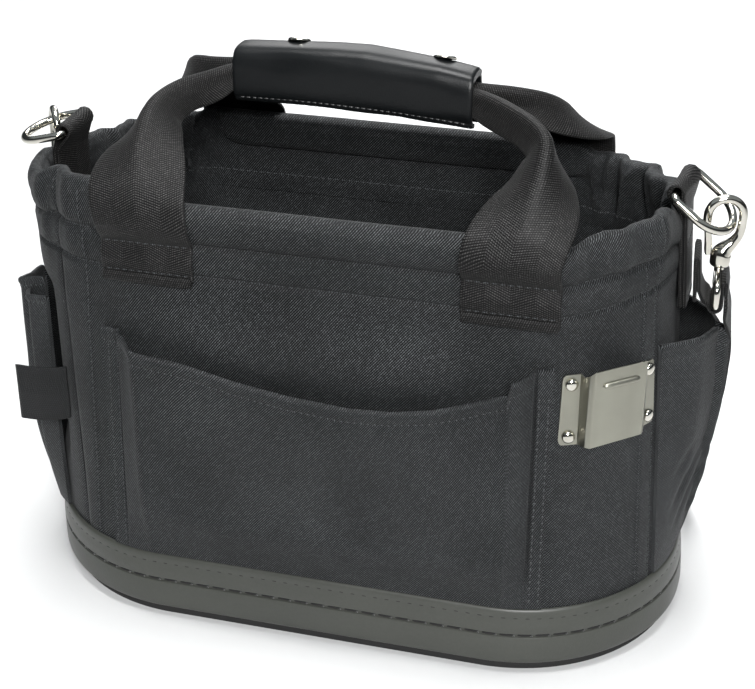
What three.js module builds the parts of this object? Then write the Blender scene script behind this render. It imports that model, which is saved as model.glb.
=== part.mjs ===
import * as THREE from 'three';

// Sizes in millimetres, base centre at the origin, front towards -Y, up is +Z.
// Heights are above the band's lower lip; the foot plate stands FOOT_DROP below it.
const LOW_Z = 3;
const RIM_Z = 240;
const LOW = { right: 181.7, left: 181.7, halfDepth: 93.0, corner: 91.4 };
const RIM = { right: 169.4, left: 182.0, halfDepth: 71.5, corner: 67.5 };
const WALL = 2.6;
const GAP = 0.35;
const LEFT_TUCK = 12.6;
const FOOT_TOP_Z = 2.2;
const FOOT_DROP = 3.2;
const BAND_TOP_Z = 36.0;
const PANEL_BOTTOM_Z = 7.4;
const POCKET_BOTTOM_Z = 36.6;
const POCKET_WALL = 2.0;
const POCKET_GAP = 0.6;
const HEM_DEPTH = 11;
const SEAM_TRIM = 0.0016;
const WEBBING_THICKNESS = 2.4;
const FOLD_HALF = 3.46;
const LEATHER = 2.6;
const GRIP_HALF_DEPTH = 12.2;
const FLAP_STEP = 1.6;
const RING_WIRE = 4.5;
const RING_HALF_WIDTH = 16.5;
const RING_ARM = 15.6;
const TAB_WIDTH = 25.4;
const TAB_THICKNESS = 2.0;
const HOOK_WIRE = 4.6;
const HOOK_BOW = 9.0;
const STRAP_WIDTH = 25.4;
const STRAP_THICKNESS = 2.0;

// Seams round the wall, in wall steps: front -1..1, right end 2..3, back 4..6, left end 7..8
const SEAM = { frontLeft: -1.39, frontRight: 1.72, backRight: 3.28, backLeft: 6.5 };

// Materials
function cloth(color) {
  return new THREE.MeshStandardMaterial({ color, roughness: 0.85, metalness: 0 });
}
function metal(color) {
  return new THREE.MeshStandardMaterial({ color, roughness: 0.32, metalness: 1 });
}
const NYLON = 0x26282a;
const WEBBING = 0x211f1e;
const VINYL = 0x55584f;
const HIDE = 0x161616;
const RUBBER = 0x121212;
const NICKEL = 0xa9a898;
const TAPE = 0x1b1b1c;

// Small helpers
const V = (x, y, z) => new THREE.Vector3(x, y, z);
const mix = (a, b, k) => a + (b - a) * k;
const clamp = (k) => Math.min(1, Math.max(0, k));
const smooth = (k) => clamp(k) ** 2 * (3 - 2 * clamp(k));

function steps(from, to, count) {
  return Array.from({ length: count + 1 }, (_, i) => mix(from, to, i / count));
}

function tableAt(rows, key, at, value) {
  if (at <= rows[0][key]) return rows[0][value];
  for (let i = 1; i < rows.length; i += 1) {
    const a = rows[i - 1];
    const b = rows[i];
    if (at <= b[key]) return mix(a[value], b[value], (at - a[key]) / (b[key] - a[key]));
  }
  return rows[rows.length - 1][value];
}

// Solid through matching loops of points, capped at both ends or closed on itself
function loft(loops, closed = false) {
  const size = loops[0].length;
  const points = loops.flat();
  const faces = [];
  const last = closed ? loops.length : loops.length - 1;
  for (let i = 0; i < last; i += 1) {
    const a = i * size;
    const b = ((i + 1) % loops.length) * size;
    for (let j = 0; j < size; j += 1) {
      const k = (j + 1) % size;
      faces.push([a + j, b + j, b + k], [a + j, b + k, a + k]);
    }
  }
  if (!closed) {
    capFaces(loops[0]).forEach((f) => faces.push([f[0], f[1], f[2]]));
    const start = (loops.length - 1) * size;
    capFaces(loops[loops.length - 1]).forEach((f) => {
      faces.push([start + f[2], start + f[1], start + f[0]]);
    });
  }
  return closedGeometry(points, faces);
}

function capFaces(loop) {
  const normal = V(0, 0, 0);
  loop.forEach((p, i) => {
    const q = loop[(i + 1) % loop.length];
    normal.x += (p.y - q.y) * (p.z + q.z);
    normal.y += (p.z - q.z) * (p.x + q.x);
    normal.z += (p.x - q.x) * (p.y + q.y);
  });
  normal.normalize();
  const seed = Math.abs(normal.z) < 0.8 ? V(0, 0, 1) : V(1, 0, 0);
  const across = seed.cross(normal).normalize();
  const along = normal.clone().cross(across);
  const flat = loop.map((p) => new THREE.Vector2(p.dot(across), p.dot(along)));
  return THREE.ShapeUtils.triangulateShape(flat, []);
}

function closedGeometry(points, faces) {
  let volume = 0;
  faces.forEach(([a, b, c]) => {
    volume += points[a].dot(points[b].clone().cross(points[c]));
  });
  const index = faces.flatMap((f) => (volume < 0 ? [f[2], f[1], f[0]] : f));
  const geometry = new THREE.BufferGeometry();
  geometry.setFromPoints(points);
  geometry.setIndex(index);
  geometry.computeVertexNormals();
  return geometry;
}

// Wall outline: a rounded rectangle that narrows to the rim, its left end tucked in at the back
function outlineAt(z) {
  const k = (z - LOW_Z) / (RIM_Z - LOW_Z);
  const corner = mix(LOW.corner, RIM.corner, k);
  return {
    corner,
    right: mix(LOW.right, RIM.right, k) - corner,
    left: mix(LOW.left, RIM.left, k) - corner,
    straightY: mix(LOW.halfDepth, RIM.halfDepth, k) - corner,
  };
}

function wallPoint(step, z, off = 0) {
  const p = outlinePoint(step, z, off);
  const rise = (z - LOW_Z) / (RIM_Z - LOW_Z);
  p.x += LEFT_TUCK * rise * smooth((p.y + 10) / 45) * smooth((-p.x - 100) / 60);
  return p;
}

function outlinePoint(step, z, off) {
  const { corner, right, left, straightY } = outlineAt(z);
  const r = corner + off;
  const u = (((step + 1) % 10) + 10) % 10;
  const turn = (u % 1) * (Math.PI / 2);
  const s = Math.sin(turn);
  const c = Math.cos(turn);
  if (u < 2) return V(mix(-left, right, u / 2), -straightY - r, z);
  if (u < 3) return V(right + r * s, -straightY - r * c, z);
  if (u < 4) return V(right + r, mix(-straightY, straightY, u - 3), z);
  if (u < 5) return V(right + r * c, straightY + r * s, z);
  if (u < 7) return V(mix(right, -left, (u - 5) / 2), straightY + r, z);
  if (u < 8) return V(-left - r * s, straightY + r * c, z);
  if (u < 9) return V(-left - r, mix(straightY, -straightY, u - 8), z);
  return V(-left - r * c, -straightY - r * s, z);
}

function frontStep(x, z) {
  const { corner, right, left } = outlineAt(z);
  if (x > right) return 1 + Math.asin((x - right) / corner) / (Math.PI / 2);
  if (x < -left) return -1 - Math.asin((-left - x) / corner) / (Math.PI / 2);
  return (2 * (x + left)) / (left + right) - 1;
}

function ringOf(z, off, perCorner) {
  const list = [];
  const spans = [
    { from: -1, to: 1, count: 2 },
    { from: 1, to: 2, count: perCorner },
    { from: 2, to: 3, count: 1 },
    { from: 3, to: 4, count: perCorner },
    { from: 4, to: 6, count: 2 },
    { from: 6, to: 7, count: perCorner },
    { from: 7, to: 8, count: 1 },
    { from: 8, to: 9, count: perCorner },
  ];
  spans.forEach(({ from, to, count }) => {
    steps(from, to, count).slice(0, -1).forEach((step) => list.push(wallPoint(step, z, off)));
  });
  return list;
}

function lofted(rows, perCorner) {
  return loft(rows.map(({ z, off }) => ringOf(z, off, perCorner)));
}

// Foot plate and moulded base tray
const FOOT_ROWS = [
  { z: -FOOT_DROP, off: -2.4 },
  { z: -FOOT_DROP + 0.8, off: -1.4 },
  { z: FOOT_TOP_Z, off: -1.4 },
];
const TRAY_ROWS = [
  { z: FOOT_TOP_Z + GAP, off: -1.0 },
  { z: 2.8, off: 1.4 },
  { z: 3.8, off: 2.6 },
  { z: 6.5, off: 3.3 },
  { z: 20, off: 3.4 },
  { z: 33, off: 2.8 },
  { z: BAND_TOP_Z, off: 2.1 },
  { z: BAND_TOP_Z, off: 0.65 },
  { z: PANEL_BOTTOM_Z - 0.4, off: 0.65 },
];

// Gathers of the soft corners near the rim
const GATHERS = [
  { from: -1.85, to: -1.08, depth: 1.6, waves: 3 },
  { from: 1.12, to: 1.95, depth: 1.4, waves: 3 },
  { from: 3.05, to: 3.92, depth: 3.0, waves: 4 },
  { from: 6.08, to: 6.95, depth: 3.0, waves: 4 },
];

function gather(step, z) {
  const rise = smooth((z - 185) / 50);
  if (rise === 0) return 0;
  const at = step > 8 ? step - 10 : step;
  const fold = GATHERS.find((g) => at > g.from && at < g.to);
  if (!fold) return 0;
  const k = (at - fold.from) / (fold.to - fold.from);
  const window = Math.sin(Math.PI * k) ** 0.5;
  return fold.depth * rise * window * Math.sin(2 * Math.PI * fold.waves * k);
}

// Body panels: stiff rolled hem along front and back, soft hem round the ends
const PANEL_ROWS = [
  { z: PANEL_BOTTOM_Z, outer: 0, soft: 0, inner: -WALL, softInner: -WALL },
  { z: 60, outer: 0, soft: 0, inner: -WALL, softInner: -WALL },
  { z: 125, outer: 0, soft: 0, inner: -WALL, softInner: -WALL },
  { z: 185, outer: 0, soft: 0, inner: -WALL, softInner: -WALL },
  { z: 191, outer: 0.1, soft: 0, inner: -WALL - 1.2, softInner: -WALL - 1 },
  { z: 202, outer: -0.2, soft: -0.2, inner: -WALL - 1.2, softInner: -WALL - 1 },
  { z: 211, outer: 0.4, soft: 0.3, inner: -WALL - 1.5, softInner: -WALL - 1.2 },
  { z: 219, outer: -0.2, soft: -0.2, inner: -WALL - 1.2, softInner: -WALL - 1 },
  { z: 225, outer: 1.8, soft: 0.7, inner: -5.2, softInner: -WALL - 1.4 },
  { z: 232, outer: 2.2, soft: 0.9, inner: -5.6, softInner: -WALL - 1.6 },
  { z: 237.5, outer: 1.0, soft: 0.4, inner: -4.4, softInner: -WALL - 1.0 },
];

function stiffness(step) {
  const toFront = Math.abs(step);
  const toBack = Math.abs(step - 5);
  return 1 - smooth((Math.min(toFront, toBack) - 1.02) / 0.1);
}

function rimDrop(step) {
  return 3.5 * (1 - stiffness(step));
}

function panelLoop(step) {
  const stiff = stiffness(step);
  const scale = (z) => (z < 191 ? z : 191 + (z - 191) * (1 - rimDrop(step) / 49));
  const at = (z, off) => wallPoint(step, scale(z), off + gather(step, z));
  const outer = PANEL_ROWS.map((r) => at(r.z, mix(r.soft, r.outer, stiff)));
  const inner = PANEL_ROWS.map((r) => at(r.z, mix(r.softInner, r.inner, stiff)));
  return [...outer, at(RIM_Z, -1.7), ...inner.reverse()];
}

function panel(from, to, stops) {
  const inside = stops.filter((s) => s > from + 0.02 && s < to - 0.02);
  return loft([from + SEAM_TRIM, ...inside, to - SEAM_TRIM].map(panelLoop));
}

const CORNER_STOPS = steps(0.04, 0.96, 14);
const FRONT_STOPS = [
  ...CORNER_STOPS.map((k) => -2 + k),
  -1, -0.5, 0, 0.5, 1,
  ...CORNER_STOPS.map((k) => 1 + k),
];
const BACK_STOPS = [
  ...CORNER_STOPS.map((k) => 3 + k),
  4, 4.5, 5, 5.5, 6,
  ...CORNER_STOPS.map((k) => 6 + k),
];
const RIGHT_STOPS = [1.76, 1.81, 1.86, 1.91, 1.96, 2, 3, 3.04, 3.09, 3.14, 3.19, 3.24];
const LEFT_STOPS = [
  6.56, 6.62, 6.68, 6.74, 6.8, 6.86, 6.93, 7,
  8, 8.07, 8.14, 8.2, 8.26, 8.32, 8.38, 8.44, 8.5, 8.56,
];

// Sewn-on pockets: a wall that stands off the panel, closed at the foot and the sides
function pocket({ stations, stepAt, top, off, rows }) {
  return loft(stations.map((s) => {
    const topZ = top(s);
    const heights = rows.map((k) => mix(POCKET_BOTTOM_Z, topZ, k));
    const point = (z, extra) => wallPoint(stepAt(s, z), z, off(s, z, topZ) + extra);
    const hem = (z) => (z > topZ - HEM_DEPTH && z < topZ - 0.5 ? 0.5 : 0);
    const outside = heights.map((z) => point(z, POCKET_WALL + hem(z)));
    const inside = heights.map((z) => point(z, 0));
    return [...outside, ...inside.reverse()];
  }));
}

const POCKET_ROWS = [0, 0.06, 0.2, 0.45, 0.7, 0.88, 0.94, 0.985, 1];

// Front pocket: top edge height, stand-off at the top edge and at the belly along its width
const FRONT_POCKET = [
  { x: -121, top: 168, mouth: GAP, belly: GAP },
  { x: -115, top: 167, mouth: GAP, belly: GAP },
  { x: -112, top: 166, mouth: 2.5, belly: 2.5 },
  { x: -108, top: 163, mouth: 8.0, belly: 6.5 },
  { x: -104, top: 161, mouth: 11.0, belly: 9.0 },
  { x: -99, top: 160.5, mouth: 9.5, belly: 8.0 },
  { x: -78, top: 158.5, mouth: 10.0, belly: 9.0 },
  { x: -44, top: 152, mouth: 10.5, belly: 10.0 },
  { x: -14, top: 147.5, mouth: 11.0, belly: 10.5 },
  { x: 16, top: 145.5, mouth: 11.0, belly: 10.5 },
  { x: 40, top: 147, mouth: 11.0, belly: 10.0 },
  { x: 62, top: 151, mouth: 10.5, belly: 9.5 },
  { x: 84, top: 158, mouth: 10.0, belly: 9.0 },
  { x: 97, top: 163, mouth: 9.5, belly: 8.5 },
  { x: 102, top: 165, mouth: 12.0, belly: 10.0 },
  { x: 107, top: 168, mouth: 8.0, belly: 6.5 },
  { x: 111, top: 171, mouth: 2.5, belly: 2.5 },
  { x: 114, top: 173, mouth: GAP, belly: GAP },
  { x: 121, top: 175, mouth: GAP, belly: GAP },
];

function frontPocket() {
  const at = (x, value) => tableAt(FRONT_POCKET, 'x', x, value);
  return pocket({
    rows: POCKET_ROWS,
    stations: FRONT_POCKET.map((r) => r.x),
    stepAt: (x, z) => frontStep(x, z),
    top: (x) => at(x, 'top'),
    off: (x, z, topZ) => {
      const k = (z - POCKET_BOTTOM_Z) / (topZ - POCKET_BOTTOM_Z);
      const full = mix(at(x, 'belly'), at(x, 'mouth'), smooth(k));
      return mix(GAP, full, smooth(k / 0.3 + 0.08));
    },
  });
}

// End pockets: they flare from the base band to an open mouth
function flare(k) {
  const edge = smooth(Math.min(k, 1 - k) / 0.22);
  return edge * (0.78 + 0.22 * Math.sin(Math.PI * k));
}

function endPocketOff({ from, to, mouth }, step, z, topZ) {
  const k = (step - from) / (to - from);
  const rise = clamp((z - POCKET_BOTTOM_Z) / (topZ - POCKET_BOTTOM_Z));
  return POCKET_GAP + mouth * flare(k) * (1 - (1 - rise) ** 2);
}

const RIGHT_POCKET = { from: 1.735, to: 3.265, mouth: 24, top: 174, swell: -3 };
const LEFT_POCKET = { from: 6.515, to: 8.595, mouth: 15.5, top: 166, swell: -11 };
const SLEEVE = { from: 7.12, to: 8.47, mouth: 2.5, top: 146, swell: -3 };

function pocketTop({ from, to, top, swell }, step) {
  return top + swell * Math.sin(Math.PI * ((step - from) / (to - from)));
}

function endPocket(size) {
  const shares = [0, 0.04, 0.09, 0.14, 0.19, 0.25, 0.33, 0.42, 0.5];
  const both = [...shares, ...shares.slice(0, -1).reverse().map((k) => 1 - k)];
  return pocket({
    rows: [0, 0.3, 0.6, 0.86, 0.93, 0.985, 1],
    stations: both.map((k) => mix(size.from, size.to, k)),
    stepAt: (step) => step,
    top: (step) => pocketTop(size, step),
    off: (step, z, topZ) => endPocketOff(size, step, z, topZ),
  });
}

function sleevePocket() {
  const under = (step, z) => {
    const topZ = pocketTop(LEFT_POCKET, step);
    return endPocketOff(LEFT_POCKET, step, z, topZ) + POCKET_WALL;
  };
  return pocket({
    rows: [0, 0.35, 0.7, 0.93, 1],
    stations: steps(SLEEVE.from, SLEEVE.to, 10),
    stepAt: (step) => step,
    top: (step) => pocketTop(SLEEVE, step),
    off: (step, z, topZ) => under(step, z) + endPocketOff(SLEEVE, step, z, topZ),
  });
}

// Tape clip: a hat-shaped strip of plate on the front right corner
const CLIP_THICKNESS = 1.2;
const CLIP_ROWS = [
  { step: 1.232, low: 0.95, high: 0.95, bottom: 132, top: 171 },
  { step: 1.275, low: 0.95, high: 0.95, bottom: 132, top: 171 },
  { step: 1.318, low: 0.95, high: 0.95, bottom: 132, top: 171 },
  { step: 1.334, low: 3.0, high: 3.8, bottom: 131, top: 169 },
  { step: 1.348, low: 6.4, high: 8.4, bottom: 130, top: 173 },
  { step: 1.366, low: 8.2, high: 11.2, bottom: 129.5, top: 176 },
  { step: 1.575, low: 8.2, high: 10.8, bottom: 129.5, top: 176 },
  { step: 1.593, low: 6.4, high: 8.2, bottom: 130, top: 173 },
  { step: 1.607, low: 3.0, high: 3.6, bottom: 131, top: 170 },
  { step: 1.624, low: 0.95, high: 0.95, bottom: 132, top: 168 },
  { step: 1.66, low: 0.95, high: 0.95, bottom: 132, top: 168 },
  { step: 1.702, low: 0.95, high: 0.95, bottom: 132, top: 168 },
];
const CLIP_RIVETS = [
  { step: 1.273, z: 136.8 },
  { step: 1.273, z: 165.8 },
  { step: 1.664, z: 137 },
  { step: 1.664, z: 163.5 },
];

function sideNormals(line) {
  return line.map((p, i) => {
    const before = p.clone().sub(line[Math.max(0, i - 1)]).setZ(0).normalize();
    const after = line[Math.min(line.length - 1, i + 1)].clone().sub(p).setZ(0).normalize();
    const along = before.clone().add(after).normalize();
    const bend = Math.max(before.dot(along), after.dot(along), 0.6);
    return V(along.y, -along.x, 0).divideScalar(bend);
  });
}

function tapeClip() {
  const foot = CLIP_ROWS.map((r) => wallPoint(r.step, r.bottom, r.low));
  const head = CLIP_ROWS.map((r) => wallPoint(r.step, r.top, r.high));
  const footSide = sideNormals(foot);
  const headSide = sideNormals(head);
  const half = CLIP_THICKNESS / 2;
  return loft(CLIP_ROWS.map((_, i) => [
    foot[i].clone().addScaledVector(footSide[i], half),
    head[i].clone().addScaledVector(headSide[i], half),
    head[i].clone().addScaledVector(headSide[i], -half),
    foot[i].clone().addScaledVector(footSide[i], -half),
  ]));
}

function turned(rows, at, axis, segments = 12) {
  const profile = rows.map(([radius, height]) => new THREE.Vector2(radius, height));
  const geometry = new THREE.LatheGeometry(profile, segments);
  const turn = new THREE.Quaternion().setFromUnitVectors(V(0, 1, 0), axis.clone().normalize());
  geometry.applyQuaternion(turn);
  geometry.translate(at.x, at.y, at.z);
  return geometry;
}

function clipRivet({ step, z }) {
  const at = wallPoint(step, z, 0.95 + CLIP_THICKNESS / 2 + 0.3);
  const axis = wallPoint(step, z, 10).sub(wallPoint(step, z, 0));
  return turned([[0, 0], [3.3, 0], [3.1, 0.7], [2.0, 1.4], [0, 1.6]], at, axis, 8);
}

// Flat strips: each row is a centre point with the direction of the strip's width
function spread(rows, count) {
  const curve = new THREE.CatmullRomCurve3(rows.map((r) => V(r.x, r.y, r.z)), false, 'centripetal');
  return Array.from({ length: count + 1 }, (_, i) => {
    const u = i / count;
    const place = u * (rows.length - 1);
    const low = Math.min(Math.floor(place), rows.length - 2);
    const k = place - low;
    const between = (key) => mix(rows[low][key], rows[low + 1][key], k);
    const tangent = curve.getTangent(u).normalize();
    const across = V(between('wx'), between('wy'), 0);
    across.addScaledVector(tangent, -across.dot(tangent)).normalize();
    return {
      at: curve.getPoint(u),
      across,
      face: tangent.clone().cross(across),
      fold: between('fold'),
      half: between('half'),
    };
  });
}

// Carrying webbing: flat on the panel, folded lengthwise where it enters the grip
function foldedStrip(rows, count) {
  const t = WEBBING_THICKNESS / 2;
  return loft(spread(rows, count).map(({ at, across, face, fold, half }) => {
    const limit = Math.max(fold, 0.5) * (Math.PI / 360);
    const radius = FOLD_HALF / limit;
    const points = [-half, -FOLD_HALF, 0, FOLD_HALF, half].map((w) => {
      const bent = Math.min(1, Math.abs(w) / FOLD_HALF) * limit * Math.sign(w);
      const leg = Math.max(0, Math.abs(w) - FOLD_HALF) * Math.sign(w);
      return {
        a: radius * Math.sin(bent) + leg * Math.cos(bent),
        n: -radius * (1 - Math.cos(bent)) - Math.abs(leg) * Math.sin(Math.abs(bent)),
        na: Math.sin(bent),
        nn: Math.cos(bent),
      };
    });
    const lift = (p, s) => at.clone()
      .addScaledVector(across, p.a + s * t * p.na)
      .addScaledVector(face, p.n + s * t * p.nn);
    return [...points.map((p) => lift(p, 1)), ...points.reverse().map((p) => lift(p, -1))];
  }));
}

const FRONT_HANDLE = [
  { x: -94.5, y: -77.0, z: 199.5, wx: -1, wy: 0, fold: 0, half: 25.4 },
  { x: -94.5, y: -75.6, z: 218, wx: -1, wy: 0, fold: 0, half: 25.4 },
  { x: -94.5, y: -78.0, z: 231, wx: -1, wy: 0, fold: 0, half: 25.4 },
  { x: -96, y: -79.0, z: 243, wx: -1, wy: -0.05, fold: 4, half: 25.4 },
  { x: -99, y: -71.5, z: 257, wx: -0.99, wy: -0.16, fold: 18, half: 25.4 },
  { x: -102.5, y: -56, z: 271, wx: -0.99, wy: 0.05, fold: 66, half: 23.6 },
  { x: -103, y: -37, z: 281.5, wx: -0.8, wy: 0.6, fold: 122, half: 20 },
  { x: -95, y: -20, z: 287, wx: -0.45, wy: 0.9, fold: 165, half: 18 },
  { x: -82, y: -10, z: 290, wx: -0.1, wy: 1, fold: 180, half: 18 },
  { x: -66, y: -4.2, z: 294, wx: 0, wy: 1, fold: 180, half: 11.8 },
  { x: -30, y: -4.3, z: 295.6, wx: 0, wy: 1, fold: 180, half: 14 },
  { x: 0, y: -4.3, z: 295.8, wx: 0, wy: 1, fold: 180, half: 14 },
  { x: 30, y: -4.3, z: 294.3, wx: 0, wy: 1, fold: 180, half: 14 },
  { x: 60, y: -4.3, z: 291.2, wx: 0, wy: 1, fold: 180, half: 14 },
  { x: 72, y: -8.5, z: 290, wx: 0.1, wy: 1, fold: 180, half: 18 },
  { x: 83, y: -16, z: 288.5, wx: 0.4, wy: 0.92, fold: 174, half: 18 },
  { x: 94, y: -28, z: 285, wx: 0.7, wy: 0.7, fold: 155, half: 19.5 },
  { x: 101, y: -42, z: 278.5, wx: 0.9, wy: 0.4, fold: 125, half: 21.5 },
  { x: 103.5, y: -56, z: 268, wx: 1, wy: 0.1, fold: 92, half: 24 },
  { x: 103, y: -70, z: 255, wx: 1, wy: 0, fold: 36, half: 25.4 },
  { x: 100, y: -78.0, z: 242, wx: 1, wy: 0, fold: 8, half: 25.4 },
  { x: 98.5, y: -78.0, z: 231, wx: 1, wy: 0, fold: 0, half: 25.4 },
  { x: 98.5, y: -75.6, z: 218, wx: 1, wy: 0, fold: 0, half: 25.4 },
  { x: 98.5, y: -77.0, z: 199.5, wx: 1, wy: 0, fold: 0, half: 25.4 },
];
const BACK_HANDLE = [
  { x: 98.5, y: 77.0, z: 199.5, wx: 1, wy: 0, fold: 0, half: 25.4 },
  { x: 98.5, y: 75.6, z: 218, wx: 1, wy: 0, fold: 0, half: 25.4 },
  { x: 98.5, y: 76.6, z: 231, wx: 1, wy: 0, fold: 0, half: 25.4 },
  { x: 98.5, y: 75.1, z: 242, wx: 1, wy: 0, fold: 6, half: 25.4 },
  { x: 100, y: 64, z: 254, wx: 1, wy: 0, fold: 24, half: 25.4 },
  { x: 102, y: 49, z: 265, wx: 0.97, wy: -0.2, fold: 55, half: 24.5 },
  { x: 100, y: 33, z: 276, wx: 0.85, wy: -0.5, fold: 105, half: 21.5 },
  { x: 92, y: 19.5, z: 284, wx: 0.55, wy: -0.83, fold: 155, half: 18 },
  { x: 79, y: 10.5, z: 288.5, wx: 0.15, wy: -1, fold: 178, half: 18 },
  { x: 60, y: 4.3, z: 291.2, wx: 0, wy: -1, fold: 180, half: 14 },
  { x: 30, y: 4.3, z: 294.3, wx: 0, wy: -1, fold: 180, half: 14 },
  { x: 0, y: 4.3, z: 295.8, wx: 0, wy: -1, fold: 180, half: 14 },
  { x: -30, y: 4.3, z: 295.6, wx: 0, wy: -1, fold: 180, half: 14 },
  { x: -66, y: 4.3, z: 294, wx: 0, wy: -1, fold: 180, half: 12.4 },
  { x: -85, y: 9, z: 291.5, wx: -0.1, wy: -1, fold: 178, half: 18 },
  { x: -99, y: 17.5, z: 288.5, wx: -0.5, wy: -0.87, fold: 158, half: 18 },
  { x: -106, y: 31, z: 281, wx: -0.8, wy: -0.55, fold: 110, half: 21.5 },
  { x: -104, y: 47, z: 270, wx: -0.97, wy: -0.2, fold: 62, half: 24.5 },
  { x: -98, y: 63, z: 256, wx: -1, wy: 0, fold: 26, half: 25.4 },
  { x: -95, y: 75.0, z: 242, wx: -1, wy: 0, fold: 6, half: 25.4 },
  { x: -94.5, y: 76.6, z: 231, wx: -1, wy: 0, fold: 0, half: 25.4 },
  { x: -94.5, y: 75.6, z: 218, wx: -1, wy: 0, fold: 0, half: 25.4 },
  { x: -94.5, y: 77.0, z: 199.5, wx: -1, wy: 0, fold: 0, half: 25.4 },
];

// Leather grip: wrapped round both webbings, open along its underside; its flap comes over
// from the front and ends at the back of the top
const GRIP_ROWS = [
  { x: -67, z: 288.6, high: 14.2, swell: 0 },
  { x: -62, z: 289.0, high: 14.4, swell: 0.2 },
  { x: -36, z: 289.9, high: 14.9, swell: 0 },
  { x: -14, z: 289.9, high: 15.4, swell: 0.9 },
  { x: 4, z: 289.4, high: 15.6, swell: 1.5 },
  { x: 22, z: 288.4, high: 15.2, swell: 0.8 },
  { x: 43, z: 286.8, high: 15.0, swell: 0 },
  { x: 58, z: 284.8, high: 14.3, swell: 0.2 },
  { x: 62, z: 284.2, high: 14.0, swell: 0 },
];
const FLAP_EDGE = 0.75;
const SNAP_TURN = 1.15;

function ovalPoint(turn, halfDepth, halfHeight) {
  const power = 2 / 3.4;
  const c = Math.cos(turn);
  const s = Math.sin(turn);
  return {
    y: Math.sign(c) * Math.abs(c) ** power * halfDepth,
    z: Math.sign(s) * Math.abs(s) ** power * halfHeight,
  };
}

function handleGrip() {
  const turns = [
    ...steps(-1.38, 0, 3), 0.35, FLAP_EDGE - 0.04, FLAP_EDGE + 0.04, SNAP_TURN, 1.57, 1.95, 2.4,
    ...steps(2.9, 2 * Math.PI - 1.76, 4),
  ];
  return loft(GRIP_ROWS.map(({ x, z, high, swell }) => {
    const flap = (a) => {
      if (a < FLAP_EDGE) return 0;
      const lifted = swell * Math.max(0, 1 - (a - FLAP_EDGE) / 1.2);
      return FLAP_STEP * (1 - smooth((a - 1.57) / 1.2)) + lifted;
    };
    const place = (a, thick) => {
      const p = ovalPoint(a, GRIP_HALF_DEPTH - thick, high - thick);
      return V(x, p.y, z + p.z);
    };
    const outside = turns.map((a) => place(a, -flap(a)));
    const inside = turns.map((a) => place(a, LEATHER));
    return [...outside, ...inside.reverse()];
  }));
}

function gripSnap(x) {
  const row = GRIP_ROWS.find((r) => r.x === x);
  const p = ovalPoint(SNAP_TURN, GRIP_HALF_DEPTH + FLAP_STEP, row.high + FLAP_STEP);
  const axis = V(0, 0.38, 0.925);
  const at = V(x, p.y, row.z + p.z).addScaledVector(axis, 0.75);
  const rows = [[0, 0], [6.0, 0], [6.3, 0.9], [5.2, 1.8], [3.4, 1.5], [0, 1.3]];
  return turned(rows, at, axis, 14);
}

// Round wire bent through a line of points, each with its own radius
function wire(points, radii, closed, normal, sides = 8) {
  const count = points.length;
  return loft(points.map((p, i) => {
    const before = closed ? points[(i + count - 1) % count] : points[Math.max(0, i - 1)];
    const after = closed ? points[(i + 1) % count] : points[Math.min(count - 1, i + 1)];
    const along = after.clone().sub(before).normalize();
    const side = normal.clone().cross(along).normalize();
    const rise = along.clone().cross(side);
    return Array.from({ length: sides }, (_, j) => {
      const a = ((j + 0.5) * 2 * Math.PI) / sides;
      return p.clone()
        .addScaledVector(side, Math.cos(a) * radii[i])
        .addScaledVector(rise, Math.sin(a) * radii[i]);
    });
  }), closed);
}

function frameAt(origin, out, across) {
  const x = out.clone().normalize();
  const y = across.clone().addScaledVector(x, -across.dot(x)).normalize();
  const z = x.clone().cross(y);
  return (a, b, c = 0) => origin.clone()
    .addScaledVector(x, a)
    .addScaledVector(y, b)
    .addScaledVector(z, c);
}

function directionOf(at, a, b, c) {
  return at(a, b, c).sub(at(0, 0, 0));
}

// Rings on the end tabs: the ring's bar, its axis, the way the ring hangs, the tab's tails
const RIGHT_END = {
  sign: 1,
  bar: V(170.7, 0, 249.4),
  axis: V(0.2, 0.97, 0.12),
  out: V(25.3, -3, -19.5),
  tail: (z) => wallPoint(2.5, z, 2.1).x,
  flat: V(0, 1, 0),
};
const LEFT_END = {
  sign: -1,
  bar: V(-167, 0, 250),
  axis: V(0.12, 0.97, 0.1),
  out: V(-0.95, 0.14, -0.28),
  tail: () => 169.6,
  flat: V(0.28, 0.96, 0),
};

function ringFrame({ bar, out, axis }) {
  return frameAt(bar, out, axis);
}

function bowPoint(at, turn) {
  return at(RING_ARM + RING_HALF_WIDTH * Math.cos(turn), RING_HALF_WIDTH * Math.sin(turn));
}

function endRing(end) {
  const at = ringFrame(end);
  const w = RING_HALF_WIDTH;
  const points = [
    ...steps(-Math.PI / 2, Math.PI / 2, 12).map((turn) => bowPoint(at, turn)),
    at(3.6, w), at(1.1, w - 1.1), at(0, w - 3.6),
    at(0, 3.6 - w), at(1.1, 1.1 - w), at(3.6, -w),
  ];
  const radii = points.map(() => RING_WIRE / 2);
  return wire(points, radii, true, directionOf(at, 0, 0, 1));
}

// A strip whose rows are followed exactly
function exactStrip(rows, width, thickness) {
  const w = width / 2;
  const t = thickness / 2;
  return loft(rows.map(({ at, across }, i) => {
    const along = rows[Math.min(i + 1, rows.length - 1)].at.clone()
      .sub(rows[Math.max(i - 1, 0)].at)
      .normalize();
    const side = across.clone().addScaledVector(along, -across.dot(along)).normalize();
    const face = along.clone().cross(side);
    return [[-w, -t], [w, -t], [w, t], [-w, t]].map(([a, n]) => (
      at.clone().addScaledVector(side, a).addScaledVector(face, n)
    ));
  }));
}

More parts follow.
